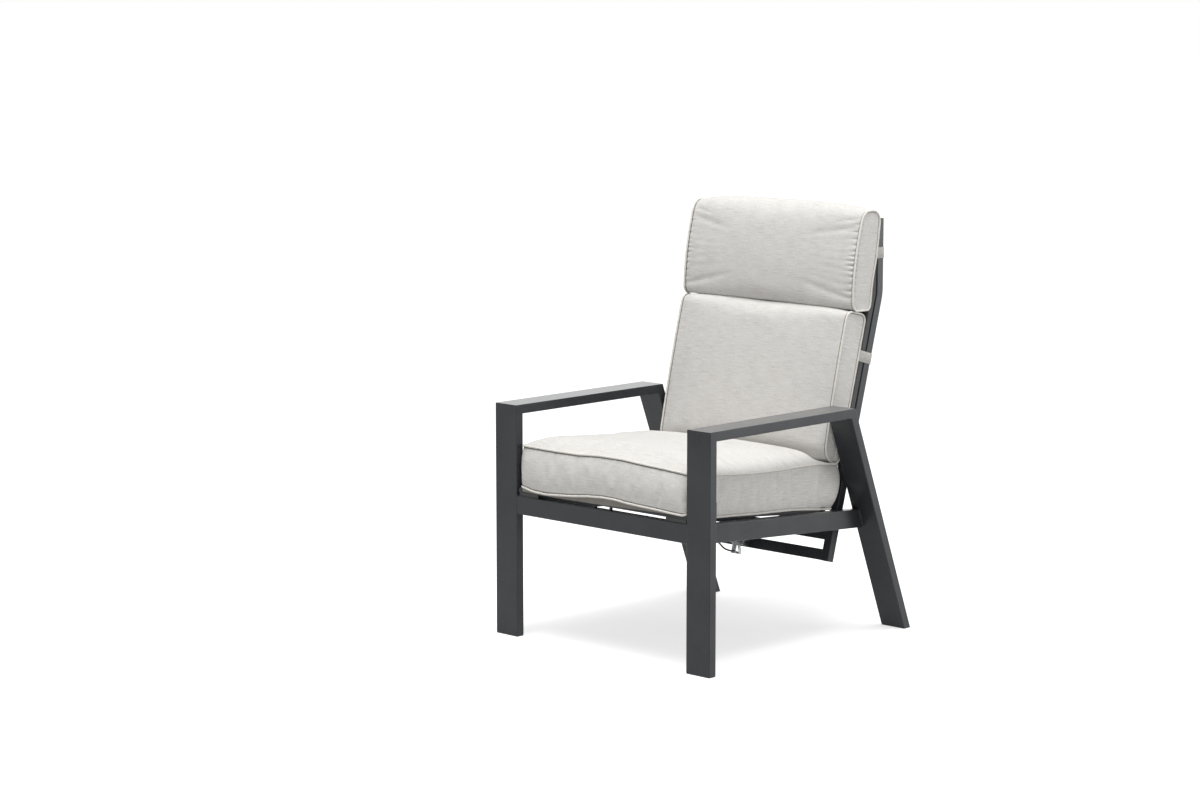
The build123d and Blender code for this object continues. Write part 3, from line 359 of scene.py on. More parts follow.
class Shader(Nodes):
    """A material's node tree and its surface."""

    def __init__(self, name, **settings):
        material = bpy.data.materials.new(name)
        material.use_nodes = True
        FINISHES[name] = material
        super().__init__(material.node_tree)
        self.surface = self.tree.nodes["Principled BSDF"]
        self.finish(**settings)

    def finish(self, **sockets):
        for socket, value in sockets.items():
            self.feed(self.surface.inputs[socket.replace("_", " ")], value)


def linear(shade):
    """A screen colour, 0 to 255, as the renderer's linear one. A socket stays as it is."""
    if isinstance(shade, bpy.types.NodeSocket):
        return shade
    shares = [value / 255 for value in shade]
    return (*(s / 12.92 if s < 0.04045 else ((s + 0.055) / 1.055) ** 2.4 for s in shares), 1.0)


# Finishes
def cushion_fabric():
    """Light grey linen-look cloth: a plain weave of slubby yarns in mixed shades, with painted shade in the
    creases along the seams and under the seat's front fold.
    """
    shader = Shader("cushion_fabric", Roughness=0.92, Sheen_Weight=0.25, Sheen_Roughness=0.5)
    shader.finish(Specular_IOR_Level=0.2)
    place = shader.place(uv=True)
    warp, weft = (shader.wave(run, 1.3 * MM) for run in shader.parts(place))
    weave = shader.math("MULTIPLY", warp, weft)
    across = shader.math("MULTIPLY", shader.streaks(place, (24, 560, 1)), 1.2)
    down = shader.math("MULTIPLY", shader.streaks(place, (700, 90, 1)), 0.8)
    yarns = shader.math("ADD", across, down)
    share = shader.ramp(yarns, 0.52, 1.48)
    cloth = shader.tint(share, (175, 172, 167), (226, 224, 221))
    fleck = shader.ramp(shader.noise(place, 26.0, 3.0, 0.55), 0.3, 0.7, 0.0, 0.4)
    cloth = shader.tint(fleck, cloth, (216, 214, 210))
    slubs = shader.ramp(shader.streaks(place, (70, 620, 1)), 0.64, 0.74, 0.0, 0.4)
    cloth = shader.tint(slubs, cloth, (160, 156, 150))
    # Painted shade: within a few millimetres of each seam the cloth is darkened towards grey-brown, standing
    # in for the shadow in the crease beside the piping
    reach = shader.ramp(shader.attribute("panel"), 0.0, 1.0, 7.0 * MM, 5.0 * MM)
    near = shader.ramp(shader.math("DIVIDE", shader.attribute("gap"), reach), 0.45, 1.0, 0.9, 0.0)
    crease = shader.math("MULTIPLY", near, shader.attribute("crease"))
    cloth = shader.tint(crease, cloth, (90, 85, 79))
    # Painted shade on the seat's underside fold, which faces down under the front piping
    shade = shader.math("MULTIPLY", shader.attribute("shade"), 0.85)
    cloth = shader.tint(shade, cloth, (112, 107, 99))
    height = shader.math("ADD", shader.math("MULTIPLY", weave, 0.35), yarns)
    fine = shader.bump(height, 0.5, 0.35 * MM)
    soft = shader.bump(shader.noise(place, 20.0), 0.15, 3 * MM, fine)
    shader.finish(Base_Color=cloth, Normal=soft)


def piping_fabric():
    """The same cloth cut on the bias round a cord, coloured lighter than the cover's cloth as a painted
    highlight on the round welt.
    """
    shader = Shader("piping_fabric", Roughness=0.9, Sheen_Weight=0.2, Sheen_Roughness=0.5)
    place = shader.place(uv=True)
    turned = shader.node("ShaderNodeMapping", {"Vector": place, "Rotation": (0, 0, radians(45))})
    yarns = shader.streaks(turned.outputs["Vector"], (90, 800, 1), 3.0, 0.6)
    # Painted highlight: both shades are lighter than the cover's cloth
    cloth = shader.shades(yarns, (198, 194, 187), (236, 233, 227))
    shader.finish(Base_Color=cloth, Normal=shader.bump(yarns, 0.5, 0.3 * MM))


def webbing():
    """Light grey ribbed polyester webbing."""
    shader = Shader("strap_webbing", Roughness=0.7, Sheen_Weight=0.15)
    place = shader.place(uv=True)
    across, along = shader.parts(place)
    picks = shader.wave(along, 1.1 * MM)
    height = shader.math("ADD", shader.wave(across, 1.6 * MM), shader.math("MULTIPLY", picks, 0.5))
    fuzz = shader.streaks(place, (900, 90, 1))
    cloth = shader.shades(fuzz, (160, 158, 154), (196, 194, 189))
    shader.finish(Base_Color=cloth, Normal=shader.bump(height, 0.5, 0.3 * MM))


def sling_mesh():
    """Open-weave coated mesh: dark yarns over each other with small holes between."""
    shader = Shader("sling_mesh")
    place = shader.place(uv=True)
    warp, weft = (shader.wave(run, 2.6 * MM) for run in shader.parts(place))
    crossing = shader.math("MULTIPLY", warp, weft)
    yarns = shader.math("MAXIMUM", shader.math("ABSOLUTE", warp), shader.math("ABSOLUTE", weft))
    streak = shader.streaks(place, (20, 900, 1))
    cloth = shader.shades(streak, (34, 35, 36), (62, 63, 64))
    cloth = shader.tint(shader.ramp(yarns, 0.30, 0.55), (10, 10, 11), cloth)
    height = shader.math("ADD", yarns, shader.math("MULTIPLY", crossing, 0.6))
    rough = shader.ramp(streak, 0.2, 0.8, 0.42, 0.62)
    shader.finish(Base_Color=cloth, Roughness=rough, Normal=shader.bump(height, 0.7, 0.5 * MM))


def powder_coat():
    """Anthracite powder coat with its fine orange peel and a slight bloom."""
    shader = Shader("frame_powder_coat", Coat_Roughness=0.25, Specular_IOR_Level=0.25)
    place = shader.place(uv=False)
    peel = shader.noise(place, 1150.0, 3.0, 0.55)
    broad = shader.noise(place, 9.0, 4.0, 0.55)
    grain = shader.noise(place, 420.0)
    paint = shader.shades(broad, (41, 44, 47), (51, 54, 57))
    paint = shader.tint(shader.ramp(grain, 0.62, 0.8, 0.0, 0.3), paint, (70, 73, 76))
    rough = shader.ramp(shader.math("ADD", broad, grain), 0.7, 1.3, 0.27, 0.38)
    facing = shader.node("ShaderNodeLayerWeight", {"Blend": 0.5}).outputs["Facing"]
    gloss = shader.ramp(facing, 0.55, 0.85)
    normal = shader.bump(peel, 0.35, 0.12 * MM)
    shader.finish(Base_Color=paint, Roughness=rough, Coat_Weight=gloss, Normal=normal)


def moulded(name, dark, light, rough_low, rough_high, grain):
    """Moulded plastic or rubber with a fine spark-eroded grain."""
    shader = Shader(name)
    place = shader.place(uv=False)
    texture = shader.noise(place, grain, 3.0, 0.6)
    body = shader.shades(shader.noise(place, 35.0, 3.0, 0.5), dark, light)
    rough = shader.ramp(texture, 0.3, 0.7, rough_low, rough_high)
    shader.finish(Base_Color=body, Roughness=rough, Normal=shader.bump(texture, 0.3, 0.08 * MM))


def metal(name, dark, light, rough_low, rough_high, brushed, **settings):
    """Plated or painted metal; brushed gives how far its marks are drawn out along each axis."""
    shader = Shader(name, **settings)
    place = shader.place(uv=False)
    marks = shader.streaks(place, brushed, 3.0, 0.6)
    spangle = shader.node("ShaderNodeTexVoronoi", {"Vector": place, "Scale": 260.0})
    patches = shader.math("MULTIPLY", shader.parts(spangle.outputs["Color"])[0], 0.3)
    share = shader.math("ADD", shader.math("MULTIPLY", marks, 0.7), patches)
    body = shader.tint(shader.ramp(share, 0.25, 0.75), dark, light)
    rough = shader.ramp(marks, 0.3, 0.7, rough_low, rough_high)
    shader.finish(Base_Color=body, Roughness=rough, Normal=shader.bump(marks, 0.12, 0.05 * MM))


for make_finish in (cushion_fabric, piping_fabric, webbing, sling_mesh, powder_coat):
    make_finish()
for values in MOULDINGS:
    moulded(*values)
for *values, settings in METALS:
    metal(*values, **settings)


def dress_nodes():
    """Every CAD node keeps its shape and takes the finish of its material slot."""
    for node in nodes.values():
        slot = node.data.materials[0].name.split(".")[0]
        node.material_slots[0].material = FINISHES[slot]


# Lines in space
def run_along(points):
    """How far along a line each of its points is."""
    steps = norm(np.diff(points, axis=0), axis=1)
    return np.concatenate([[0], np.cumsum(steps)])


def run_down(rows):
    """How far down a grid each of its rows is, on average."""
    steps = norm(np.diff(rows, axis=0), axis=2).mean(axis=1)
    return np.concatenate([[0], np.cumsum(steps)])


def unit(vectors):
    return vectors / norm(vectors, axis=-1, keepdims=True)


def quads(grid):
    """The four corners of each cell of a grid, row by row."""
    cells = np.stack([grid[:-1, :-1], grid[:-1, 1:], grid[1:, 1:], grid[1:, :-1]], axis=2)
    return cells.reshape(-1, *cells.shape[2:])


def spread(across, along):
    """The grid of places that two runs span."""
    return np.stack(np.meshgrid(across, along), axis=-1)


def resample(points, count):
    """Evenly spaced points along a line."""
    points = np.asarray(points, float)
    run = run_along(points)
    wanted = np.linspace(0, run[-1], count)
    return np.column_stack([np.interp(wanted, run, column) for column in points.T])


def smooth_line(points, steps, closed=False):
    """A Catmull-Rom line through the points."""
    points = np.asarray(points, float)
    if closed:
        whole = np.vstack([points[-1:], points, points[:2]])
    else:
        whole = np.vstack([2 * points[:1] - points[1:2], points, 2 * points[-1:] - points[-2:-1]])
    share = np.linspace(0, 1, steps, endpoint=False)[:, None]
    parts = []
    for a, b, c, d in zip(whole[:-3], whole[1:-2], whole[2:-1], whole[3:]):
        cubic = 3 * (b - c) + d - a
        parts.append(b + 0.5 * share * (c - a + share * (2 * a - 5 * b + 4 * c - d + share * cubic)))
    if not closed:
        parts.append(points[-1:])
    return np.vstack(parts)


def section_frames(line, closed, width=None):
    """Two directions square to the line at each of its points; width keeps one of them fixed."""
    if closed:
        tangents = np.roll(line, -1, axis=0) - np.roll(line, 1, axis=0)
    else:
        tangents = np.gradient(line, axis=0)
    tangents = unit(tangents)
    if width is not None:
        second = unit(width - tangents * (tangents @ width)[:, None])
        return np.cross(second, tangents), second
    first = np.zeros_like(line)
    start = np.eye(3)[np.argmin(np.abs(tangents[0]))]
    for k, tangent in enumerate(tangents):
        start = unit(start - tangent * (start @ tangent))
        first[k] = start
    return first, np.cross(tangents, first)


def new_piece(name, points, faces, material, uvs=None):
    """A mesh piece. uvs gives each face's corners in metres of cloth."""
    mesh = bpy.data.meshes.new(name)
    mesh.from_pydata([tuple(p) for p in points], [], faces)
    if uvs is not None:
        layer = mesh.uv_layers.new(name="UVMap")
        layer.data.foreach_set("uv", np.asarray(uvs, np.float32).ravel())
    mesh.polygons.foreach_set("use_smooth", [True] * len(mesh.polygons))
    mesh.materials.append(material)
    piece = bpy.data.objects.new(name, mesh)
    scene.collection.objects.link(piece)
    return piece


def face_outward(piece):
    shape = bmesh.new()
    shape.from_mesh(piece.data)
    bmesh.ops.recalc_face_normals(shape, faces=shape.faces)
    shape.to_mesh(piece.data)
    shape.free()


def swept(name, line, profile, material, closed=False, width=None, scale=None):
    """A profile drawn along a line, with its ends closed."""
    line = np.asarray(line, float)
    profile = np.asarray(profile, float)
    first, second = section_frames(line, closed, width)
    size = np.ones(len(line)) if scale is None else scale
    rings = [
        point + size[k] * (profile[:, :1] * first[k] + profile[:, 1:] * second[k])
        for k, point in enumerate(line)
    ]
    count, sides = len(line), len(profile)
    run, girth = run_along(line), run_along(profile)
    around = np.append(girth, girth[-1] + norm(profile[0] - profile[-1]))
    index = np.arange(count * sides).reshape(count, sides)
    ends = [index[0], index[-1, ::-1]]
    index = np.column_stack([index, index[:, 0]])
    if closed:
        index = np.vstack([index, index[:1]])
        run = np.append(run, run[-1] + norm(line[0] - line[-1]))
    faces = quads(index).tolist()
    uvs = quads(spread(around, run)).reshape(-1, 2)
    if not closed:
        faces += [end.tolist() for end in ends]
        caps = [(a, 0) for a in around[:-1]] + [(a, run[-1]) for a in around[-2::-1]]
        uvs = np.vstack([uvs, caps])
    piece = new_piece(name, np.vstack(rings), faces, material, uvs)
    face_outward(piece)
    return piece


def round_profile(radius, sides):
    turns = np.arange(sides) * 2 * pi / sides
    return np.column_stack([radius * np.cos(turns), radius * np.sin(turns)])


# Sewn cushions: two end panels joined round their seams by a strip
def corner_curve(start, corner, end, share):
    return (1 - share) ** 2 * start + 2 * share * (1 - share) * corner + share**2 * end


def rounded_sides(corners, reaches, bows):
    """A closed outline of four sides, each running from the middle of one round corner to the next.

    reaches says how far each corner's rounding runs, and bows how far each side stands out."""
    corners = np.asarray(corners, float)
    centre = corners.mean(axis=0)
    steps = 8
    sides = []
    for k in range(4):
        start, end = corners[k], corners[(k + 1) % 4]
        along = unit(end - start)
        before, after = unit(corners[k - 1] - start), unit(corners[(k + 2) % 4] - end)
        near, far = reaches[k], reaches[(k + 1) % 4]
        share = np.linspace(0.5, 1, steps)[:, None]
        opening = corner_curve(start + before * near, start, start + along * near, share)
        share = np.linspace(0, 0.5, steps)[:, None]
        closing = corner_curve(end - along * far, end, end + after * far, share)
        out = np.array([along[1], -along[0]])
        out = out if out @ ((start + end) / 2 - centre) > 0 else -out
        share = np.linspace(0, 1, 4 * steps)[1:-1, None]
        middle = opening[-1] + (closing[0] - opening[-1]) * share
        middle = middle + out * bows[k] * (1 - (2 * share - 1) ** 2)
        sides.append(np.vstack([opening, middle, closing]))
    return sides


def seam_of(sides, counts):
    """The seam's points, with so many steps on each of its four sides."""
    parts = [resample(side, count + 1)[:-1] for side, count in zip(sides, counts)]
    return np.vstack(parts)


def four_sides(loop, counts):
    """A seam's low, right, high and left side, as they run in its panel's grid."""
    wide, deep = counts[:2]
    cuts = (0, wide, wide + deep, 2 * wide + deep, len(loop))
    loop = np.concatenate([loop, loop[:1]])
    low, right, high, left = (loop[a : b + 1] for a, b in zip(cuts, cuts[1:]))
    return low, right, high[::-1], left[::-1]


def coons(seam, counts):
    """A patch inside a four-sided seam, as rows of points with the seam round its edge."""
    low, right, high, left = four_sides(seam, counts)
    u = np.linspace(0, 1, len(low))[None, :, None]
    v = np.linspace(0, 1, len(left))[:, None, None]
    ruled = (1 - v) * low[None] + v * high[None]
    crossed = (1 - u) * left[:, None] + u * right[:, None]
    corners = (
        (1 - u) * (1 - v) * low[0] + u * (1 - v) * low[-1] + (1 - u) * v * high[0] + u * v * high[-1]
    )
    return ruled + crossed - corners


def pillow(share, power):
    """How far a panel stands up between its seams, from 0 at them to 1 in the middle."""
    return 1 - np.abs(2 * share - 1) ** power


def quarter_round(away, reach):
    """How far a round edge has risen at a distance from its seam, from 0 to 1 at its reach."""
    return np.sqrt(1 - (1 - np.clip(away / reach, 0, 1)) ** 2)


def evened(crown, reach):
    """Smooths one value per seam point over so many points to each side."""
    wrapped = np.concatenate([crown[-reach:], crown, crown[:reach]])
    return np.convolve(wrapped, np.ones(2 * reach + 1) / (2 * reach + 1), "valid")


class Cushion:
    """The grid of a sewn cushion: seam_a, seam_b, the strip between them and a panel in each."""

    def __init__(self, seam_a, seam_b, counts, rows, strip_crown, strip_power):
        self.counts, self.rows = counts, rows
        # Painted shade: how many rows of the first panel are darkened, and the half width beyond which the
        # creases' painted shade is weaker
        self.painted_shade_rows = 1
        self.weak_crease_shade_beyond = np.inf
        self.seams = (seam_a, seam_b)
        self.size = len(seam_a)
        self.axis = unit(seam_b.mean(axis=0) - seam_a.mean(axis=0))
        along = np.roll(seam_a, -1, axis=0) - np.roll(seam_a, 1, axis=0)
        out = unit(np.cross(along, self.axis))
        if np.sum(out * (seam_a - seam_a.mean(axis=0))) < 0:
            out = -out
        self.out = out
        share = np.linspace(0, 1, rows + 1)[:, None, None]
        lift = pillow(share, strip_power) * strip_crown[None, :, None]
        self.strip = (1 - share) * seam_a[None] + share * seam_b[None] + lift * out[None]
        self.panels = [coons(seam_a, counts), coons(seam_b, counts)]

    def raise_panel(self, which, crown, power, shoulder=0.0, reaches=(1.0, 1.0, 1.0, 1.0)):
        """Crowns a panel outward, over a round shoulder that rises from its four seams.

        crown and shoulder are numbers or one value per point."""
        panel = self.panels[which]
        u = np.linspace(0, 1, panel.shape[1])[None, :]
        v = np.linspace(0, 1, panel.shape[0])[:, None]
        lift = crown * pillow(u, power) * pillow(v, power)
        across, down = panel[panel.shape[0] // 2], panel[:, panel.shape[1] // 2]
        wide, long = (norm(line[-1] - line[0]) for line in (across, down))
        edges = (u * wide, (1 - u) * wide, v * long, (1 - v) * long)
        for away, reach in zip(edges, reaches):
            shoulder = shoulder * quarter_round(away, reach)
        lift = lift + shoulder
        self.panels[which] = panel + lift[:, :, None] * self.outward(which)

    def outward(self, which):
        return self.axis if which else -self.axis

    def build(self, name, flat_axes):
        """Makes the mesh. flat_axes are the two directions that lay out the end panels' cloth."""
        wide, deep = self.counts[:2]
        points = [self.strip.reshape(-1, 3)]
        strip_index = np.arange((self.rows + 1) * self.size).reshape(self.rows + 1, self.size)
        total = strip_index.size
        indices = []
        for which, panel in enumerate(self.panels):
            index = np.full(panel.shape[:2], -1)
            sides = four_sides(strip_index[-which], self.counts)
            index[0], index[:, -1], index[-1], index[:, 0] = sides
            inner = (deep - 1) * (wide - 1)
            index[1:-1, 1:-1] = np.arange(total, total + inner).reshape(deep - 1, wide - 1)
            points.append(panel[1:-1, 1:-1].reshape(-1, 3))
            total += inner
            indices.append(index)
        points = np.vstack(points)
        middle = self.strip[self.rows // 2]
        run, height = run_along(np.vstack([middle, middle[:1]])), run_down(self.strip)
        faces = quads(np.column_stack([strip_index, strip_index[:, 0]])).tolist()
        cloth = quads(spread(run, height))
        uvs = [cloth[..., ::-1] if self.rows > UPRIGHT_ROWS else cloth]
        for which, index in enumerate(indices):
            faces += quads(index).tolist()
            uvs.append(quads(points[index] @ np.transpose(flat_axes) + 1.7 * (which + 1)))
        self.index, self.strip_index = indices, strip_index
        piece = new_piece(name, points, faces, FINISHES["cushion_fabric"], np.vstack(uvs))
        self.add_gaps(piece, run, height)
        face_outward(piece)
        self.crease_seams(piece)
        return piece

    def seam_points(self, *others):
        """The mesh's points on the two seams, with others added."""
        return np.concatenate([self.strip_index[0], self.strip_index[-1], *others])

    def add_gaps(self, piece, run, height):
        """Each point keeps how far it is from a seam, its place along it, its panel, and how much painted
        shade its cloth gets.
        """
        gap = np.zeros(len(piece.data.vertices))
        place = np.zeros(len(gap))
        panel_of = np.zeros(len(gap))
        across = np.minimum(height, height[-1] - height)
        gap[self.strip_index.ravel()] = np.repeat(across, self.size)
        place[self.strip_index.ravel()] = np.tile(run[:-1], self.rows + 1)
        wide, deep = self.counts[:2]
        for which, index in enumerate(self.index):
            panel = self.panels[which]
            step_u = norm(panel[deep // 2, 1] - panel[deep // 2, 0])
            step_v = norm(panel[1, wide // 2] - panel[0, wide // 2])
            u, v = np.arange(wide + 1)[None, :], np.arange(deep + 1)[:, None]
            from_side = np.minimum(u, wide - u) * step_u
            from_end = np.minimum(v, deep - v) * step_v
            along = np.where(from_side < from_end, v * step_v, u * step_u)
            inside = index[1:-1, 1:-1]
            gap[inside] = np.minimum(from_side, from_end)[1:-1, 1:-1]
            place[inside] = along[1:-1, 1:-1]
            panel_of[inside] = which + 1
        # Painted shade: the first rows of the underside panel, the seat's front fold, are marked to be
        # darkened
        shade = np.zeros(len(gap))
        shade[self.index[0][1 : self.painted_shade_rows, 1:-1]] = 1.0
        # A weaker painted crease shade beyond that half width, where light falls on the side strips
        crease = np.where(np.abs(points_of(piece)[:, 0]) > self.weak_crease_shade_beyond, 0.3, 1.0)
        kept = {"gap": gap, "place": place, "panel": panel_of, "shade": shade, "crease": crease}
        for name, values in kept.items():
            attribute = piece.data.attributes.new(name, "FLOAT", "POINT")
            attribute.data.foreach_set("value", values.astype(np.float32))

    def crease_seams(self, piece):
        """Keeps the two seams sharp when the cover is subdivided."""
        seams = set()
        for ring in (self.strip_index[0], self.strip_index[-1]):
            seams.update(frozenset((int(a), int(b))) for a, b in zip(ring, np.roll(ring, -1)))
        values = [float(frozenset(edge.vertices) in seams) for edge in piece.data.edges]
        piece.data.attributes.new("crease_edge", "FLOAT", "EDGE").data.foreach_set("value", values)


def points_of(piece):
    points = np.zeros(len(piece.data.vertices) * 3)
    piece.data.vertices.foreach_get("co", points)
    return points.reshape(-1, 3)


def set_points(piece, points):
    piece.data.vertices.foreach_set("co", np.asarray(points, np.float32).ravel())
    piece.data.update()


def values_of(piece, name):
    values = np.zeros(len(piece.data.vertices), np.float32)
    piece.data.attributes[name].data.foreach_get("value", values)
    return values


def fill_with_foam(jobs):
    """Blows the cushions up as cloth, all at once, and keeps each point near where it was cut."""
    for piece, held, (growth, limit), rest in jobs:
        group = piece.vertex_groups.new(name="held")
        group.add([int(k) for k in held], 1.0, "REPLACE")
        cloth = piece.modifiers.new("cloth", "CLOTH").settings
        for key, value in CLOTH_SETTINGS.items():
            setattr(cloth, key, value)
        cloth.shrink_min = -growth
        cloth.effector_weights.gravity = 0
    for number in range(1, FOAM_FRAMES + 1):
        scene.frame_set(number)
    graph = bpy.context.evaluated_depsgraph_get()
    for piece, held, (growth, limit), rest in jobs:
        blown = points_of(piece.evaluated_get(graph))
        cut = points_of(piece)
        move = blown - cut
        length = norm(move, axis=1)
        capped = np.minimum(length, limit) / np.maximum(length, 1e-9)
        piece.modifiers.clear()
        piece.vertex_groups.clear()
        set_points(piece, rest(cut + move * capped[:, None]))
    scene.frame_set(1)


def refine(piece):
    """Subdivides the piece once and applies it."""
    rounding = piece.modifiers.new("rounding", "SUBSURF")
    rounding.levels = 1
    graph = bpy.context.evaluated_depsgraph_get()
    mesh = bpy.data.meshes.new_from_object(
        piece.evaluated_get(graph), preserve_all_data_layers=True, depsgraph=graph
    )
    piece.modifiers.clear()
    old = piece.data
    piece.data = mesh
    bpy.data.meshes.remove(old)
    mesh.name = piece.name


def waves(place, lengths, phases):
    """An uneven ripple along a seam, from -1 to 1."""
    total = sum(np.sin(2 * pi * place / (length * MM) + phase) for length, phase in zip(lengths, phases))
    return total / len(lengths)


def pucker(piece, depth, reach, gathers=None):
    """Small folds where the cloth is drawn into its seams; gathers adds deeper ones in one stretch."""
    points = points_of(piece)
    normals = np.zeros(len(points) * 3, np.float32)
    piece.data.vertices.foreach_get("normal", normals)
    normals = normals.reshape(-1, 3)
    gap, place = values_of(piece, "gap"), values_of(piece, "place")
    fold = waves(place, (17.0, 29.0, 11.0), (0.3, 1.9, 4.1))
    fade = np.exp(-gap / (reach * MM)) * np.clip(gap / (2.5 * MM), 0, 1)
    lift = depth * MM * fold * fade
    if gathers is not None:
        lift += gathers(points, gap)
    set_points(piece, points + normals * lift[:, None])


def add_piping(name, cushion, which, rest, body):
    """The welt sewn into a seam, standing a little proud of it."""
    seam = cushion.seams[which]
    proud = (cushion.out + cushion.outward(which)) * 0.7
    line = smooth_line(rest(seam + proud * PIPING_LIFT * MM), 2, closed=True)
    wobble = 1 + 0.05 * waves(np.arange(len(line)) * 3.7 * MM, (23.0, 41.0), (0.5, 2.2))
    profile = round_profile(PIPING_RADIUS, 10)
    piping = swept(name, line, profile, FINISHES["piping_fabric"], closed=True, scale=wobble)
    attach(piping, body)


# Seat cushion
def line_value(table, place):
    places, values = zip(*table)
    return np.interp(place, places, values)


def seam_at(outline, side_table, front_table, front_depth):
    """Lifts a seam's plan outline to the heights measured along its front and its side."""
    x, depth = outline[:, 0], outline[:, 1]
    side = line_value(side_table, depth)
    extra = line_value(front_table, x) - side_table[0][1]
    reach = 110 + 190 * np.clip(-x / 300, 0, 1)
    height = side + extra * np.exp(-np.maximum(depth - front_depth, 0) / reach)
    return np.column_stack([x, depth - LEGS_FRONT, height]) * MM


def seat_outline(front, rear, reaches, bows):
    """A seam's outline in plan, from the seat's front to its rear."""
    corners = [(-SEAT_HALF, front), (SEAT_HALF, front), (SEAT_HALF, rear), (-SEAT_HALF, rear)]
    return seam_of(rounded_sides(corners, reaches, bows), SEAT_COUNTS)


def seat_cushion():
    top = seat_outline(SEAT_TOP_FRONT, SEAT_TOP_REAR, *SEAT_TOP_FORM)
    rise = line_value(SEAM_TOP_LEFT_RISE, top[:, 1]) * np.clip((-top[:, 0] - 150) / 150, 0, 1)
    top = seam_at(top, SEAM_TOP_SIDE, SEAM_TOP_FRONT, SEAT_TOP_FRONT)
    top[:, 2] += rise * MM
    low = seat_outline(SEAT_LOW_FRONT, SEAT_LOW_REAR, *SEAT_LOW_FORM)
    near = (SEAM_FORWARD_UNTIL - low[:, 1]) / (SEAM_FORWARD_UNTIL - SEAT_LOW_FRONT)
    moved = line_value(SEAM_LOW_FORWARD, low[:, 0]) - SEAT_LOW_FRONT
    low[:, 1] += moved * np.clip(near, 0, 1)
    low = seam_at(low, SEAM_LOW_SIDE, SEAM_LOW_FRONT, SEAT_LOW_FRONT)
    wide, deep = SEAT_COUNTS[:2]
    number = np.arange(len(top))
    rear = (number > wide + deep - 7) & (number < 2 * wide + deep + 7)
    crown = np.where(number < wide, SEAT_FRONT_CROWN, SEAT_SIDE_CROWN)
    crown = evened(np.where(rear, SEAT_REAR_CROWN, crown) * MM, 4)
    cushion = Cushion(low, top, SEAT_COUNTS, SEAT_ROWS, crown, 2.2)
    share = np.linspace(0, 1, deep + 1)[:, None]
    lean = 1 - 0.45 * np.clip((share - 0.7) / 0.3, 0, 1)
    reaches = [reach * MM for reach in SEAT_SHOULDER_REACHES]
    cushion.raise_panel(1, SEAT_CROWN * MM * lean, 2.2, SEAT_SHOULDER * MM * lean, reaches)
    add_lip(cushion.panels[0])
    # Painted shade on the underside fold, and a weaker painted crease shade on the side strips
    cushion.painted_shade_rows = PAINTED_SHADE_ROWS
    cushion.weak_crease_shade_beyond = WEAK_CREASE_SHADE_BEYOND * MM
    piece = cushion.build("seat_cushion_cover", ((1, 0, 0), (0, 1, 0)))
    return cushion, piece, cushion.seam_points(cushion.index[0][1:-1, 1:-1].ravel())


def add_lip(panel):
    """The underside hangs in a fold before the deck's front bar, between the seam and the gap."""
    x = panel[0, :, 0] / MM
    share = np.clip((SEAT_HALF - np.abs(x)) / LIP_END, 0, 1)[:, None]
    seam = panel[0, :, 2]
    edge = line_value(LIP_EDGE, x) * MM
    heights = [seam + (edge - seam) * drop for depth, drop in LIP_DROPS]
    heights += [edge + rise * MM for depth, rise in LIP_RISES]
    depths = [depth for depth, height in LIP_DROPS + LIP_RISES]
    for row, (depth, height) in enumerate(zip(depths, heights), 1):
        fold = np.column_stack([panel[0, :, 0], np.full(len(x), (depth - LEGS_FRONT) * MM), height])
        panel[row] += (fold - panel[row]) * share


def seat_rest(points):
    """The cushion lies on the deck, hangs down before it and is pressed under the back cushion."""
    depth = points[:, 1] / MM + LEGS_FRONT
    floor = (deck_height(depth) + DECK_GAP) * MM
    half, front, rear = DECK_AREA
    inside = (np.abs(points[:, 0]) < half * MM) & (depth > front) & (depth < rear)
    points[:, 2] = np.where(inside, np.maximum(points[:, 2], floor), points[:, 2])
    along, forward = in_back(points)
    under = (np.abs(points[:, 0]) < UNDER_BACK_HALF * MM) & (forward < UNDER_BACK_FORWARD * MM)
    excess = np.where(under, np.maximum(along - SEAT_UNDER_BACK * MM, 0), 0)
    points[:, 2] -= excess / cos(BACK_LEAN)
    return points


# Back cushion, in the back tubes' own lean
def back_direction(along, forward):
    return unit(on_back(0, along, forward) - on_back(0, 0, 0))


def back_seam(corners, low_reach, side):
    sides = rounded_sides([(-a, n) for a, n in corners], (24, low_reach, 24, 22), (0, 3, 0, 0))
    outline = seam_of(sides, BACK_COUNTS)
    share = np.clip((outline[:, 1] - 44) / 76, 0, 1)
    x = side * (BACK_HALF_REAR + (BACK_HALF_FRONT - BACK_HALF_REAR) * share)
    return np.array([on_back(a, -b, c) for a, b, c in zip(x, outline[:, 0], outline[:, 1])])


def back_cushion():
    seams = [
        back_seam(BACK_SEAM_RIGHT, BACK_LOW_REACH_RIGHT, -1),
        back_seam(BACK_SEAM_LEFT, BACK_LOW_REACH_LEFT, 1),
    ]
    up, forward = back_direction(1, 0), back_direction(0, 1)
    lean = (seams[0] - seams[0].mean(axis=0)) @ forward
    stretches = [lean > 20 * MM, lean < -25 * MM]
    crown = evened(np.select(stretches, BACK_CROWNS, BACK_END_CROWN) * MM, 4)
    cushion = Cushion(*seams, BACK_COUNTS, BACK_ROWS, crown, 5.0)
    for which in (0, 1):
        cushion.raise_panel(which, BACK_PANEL_CROWN * MM, 2.4)
    piece = cushion.build("back_cushion_cover", (forward, up))
    flat = np.nonzero(lean < -30 * MM)[0]
    return cushion, piece, cushion.seam_points(cushion.strip_index[:, flat].ravel())


def push_off_sling(points):
    """Moves the points that are behind the sling's front to just before it."""
    inside = np.abs(points[:, 0]) < COVER_HALF_WIDTH * MM
    short = (SLING_FRONT + COVER_GAP) * MM - in_back(points)[1]
    push = np.where(inside, np.maximum(short, 0), 0)
    points[:, 1] -= push * cos(BACK_LEAN)
    points[:, 2] += push * sin(BACK_LEAN)
    return points


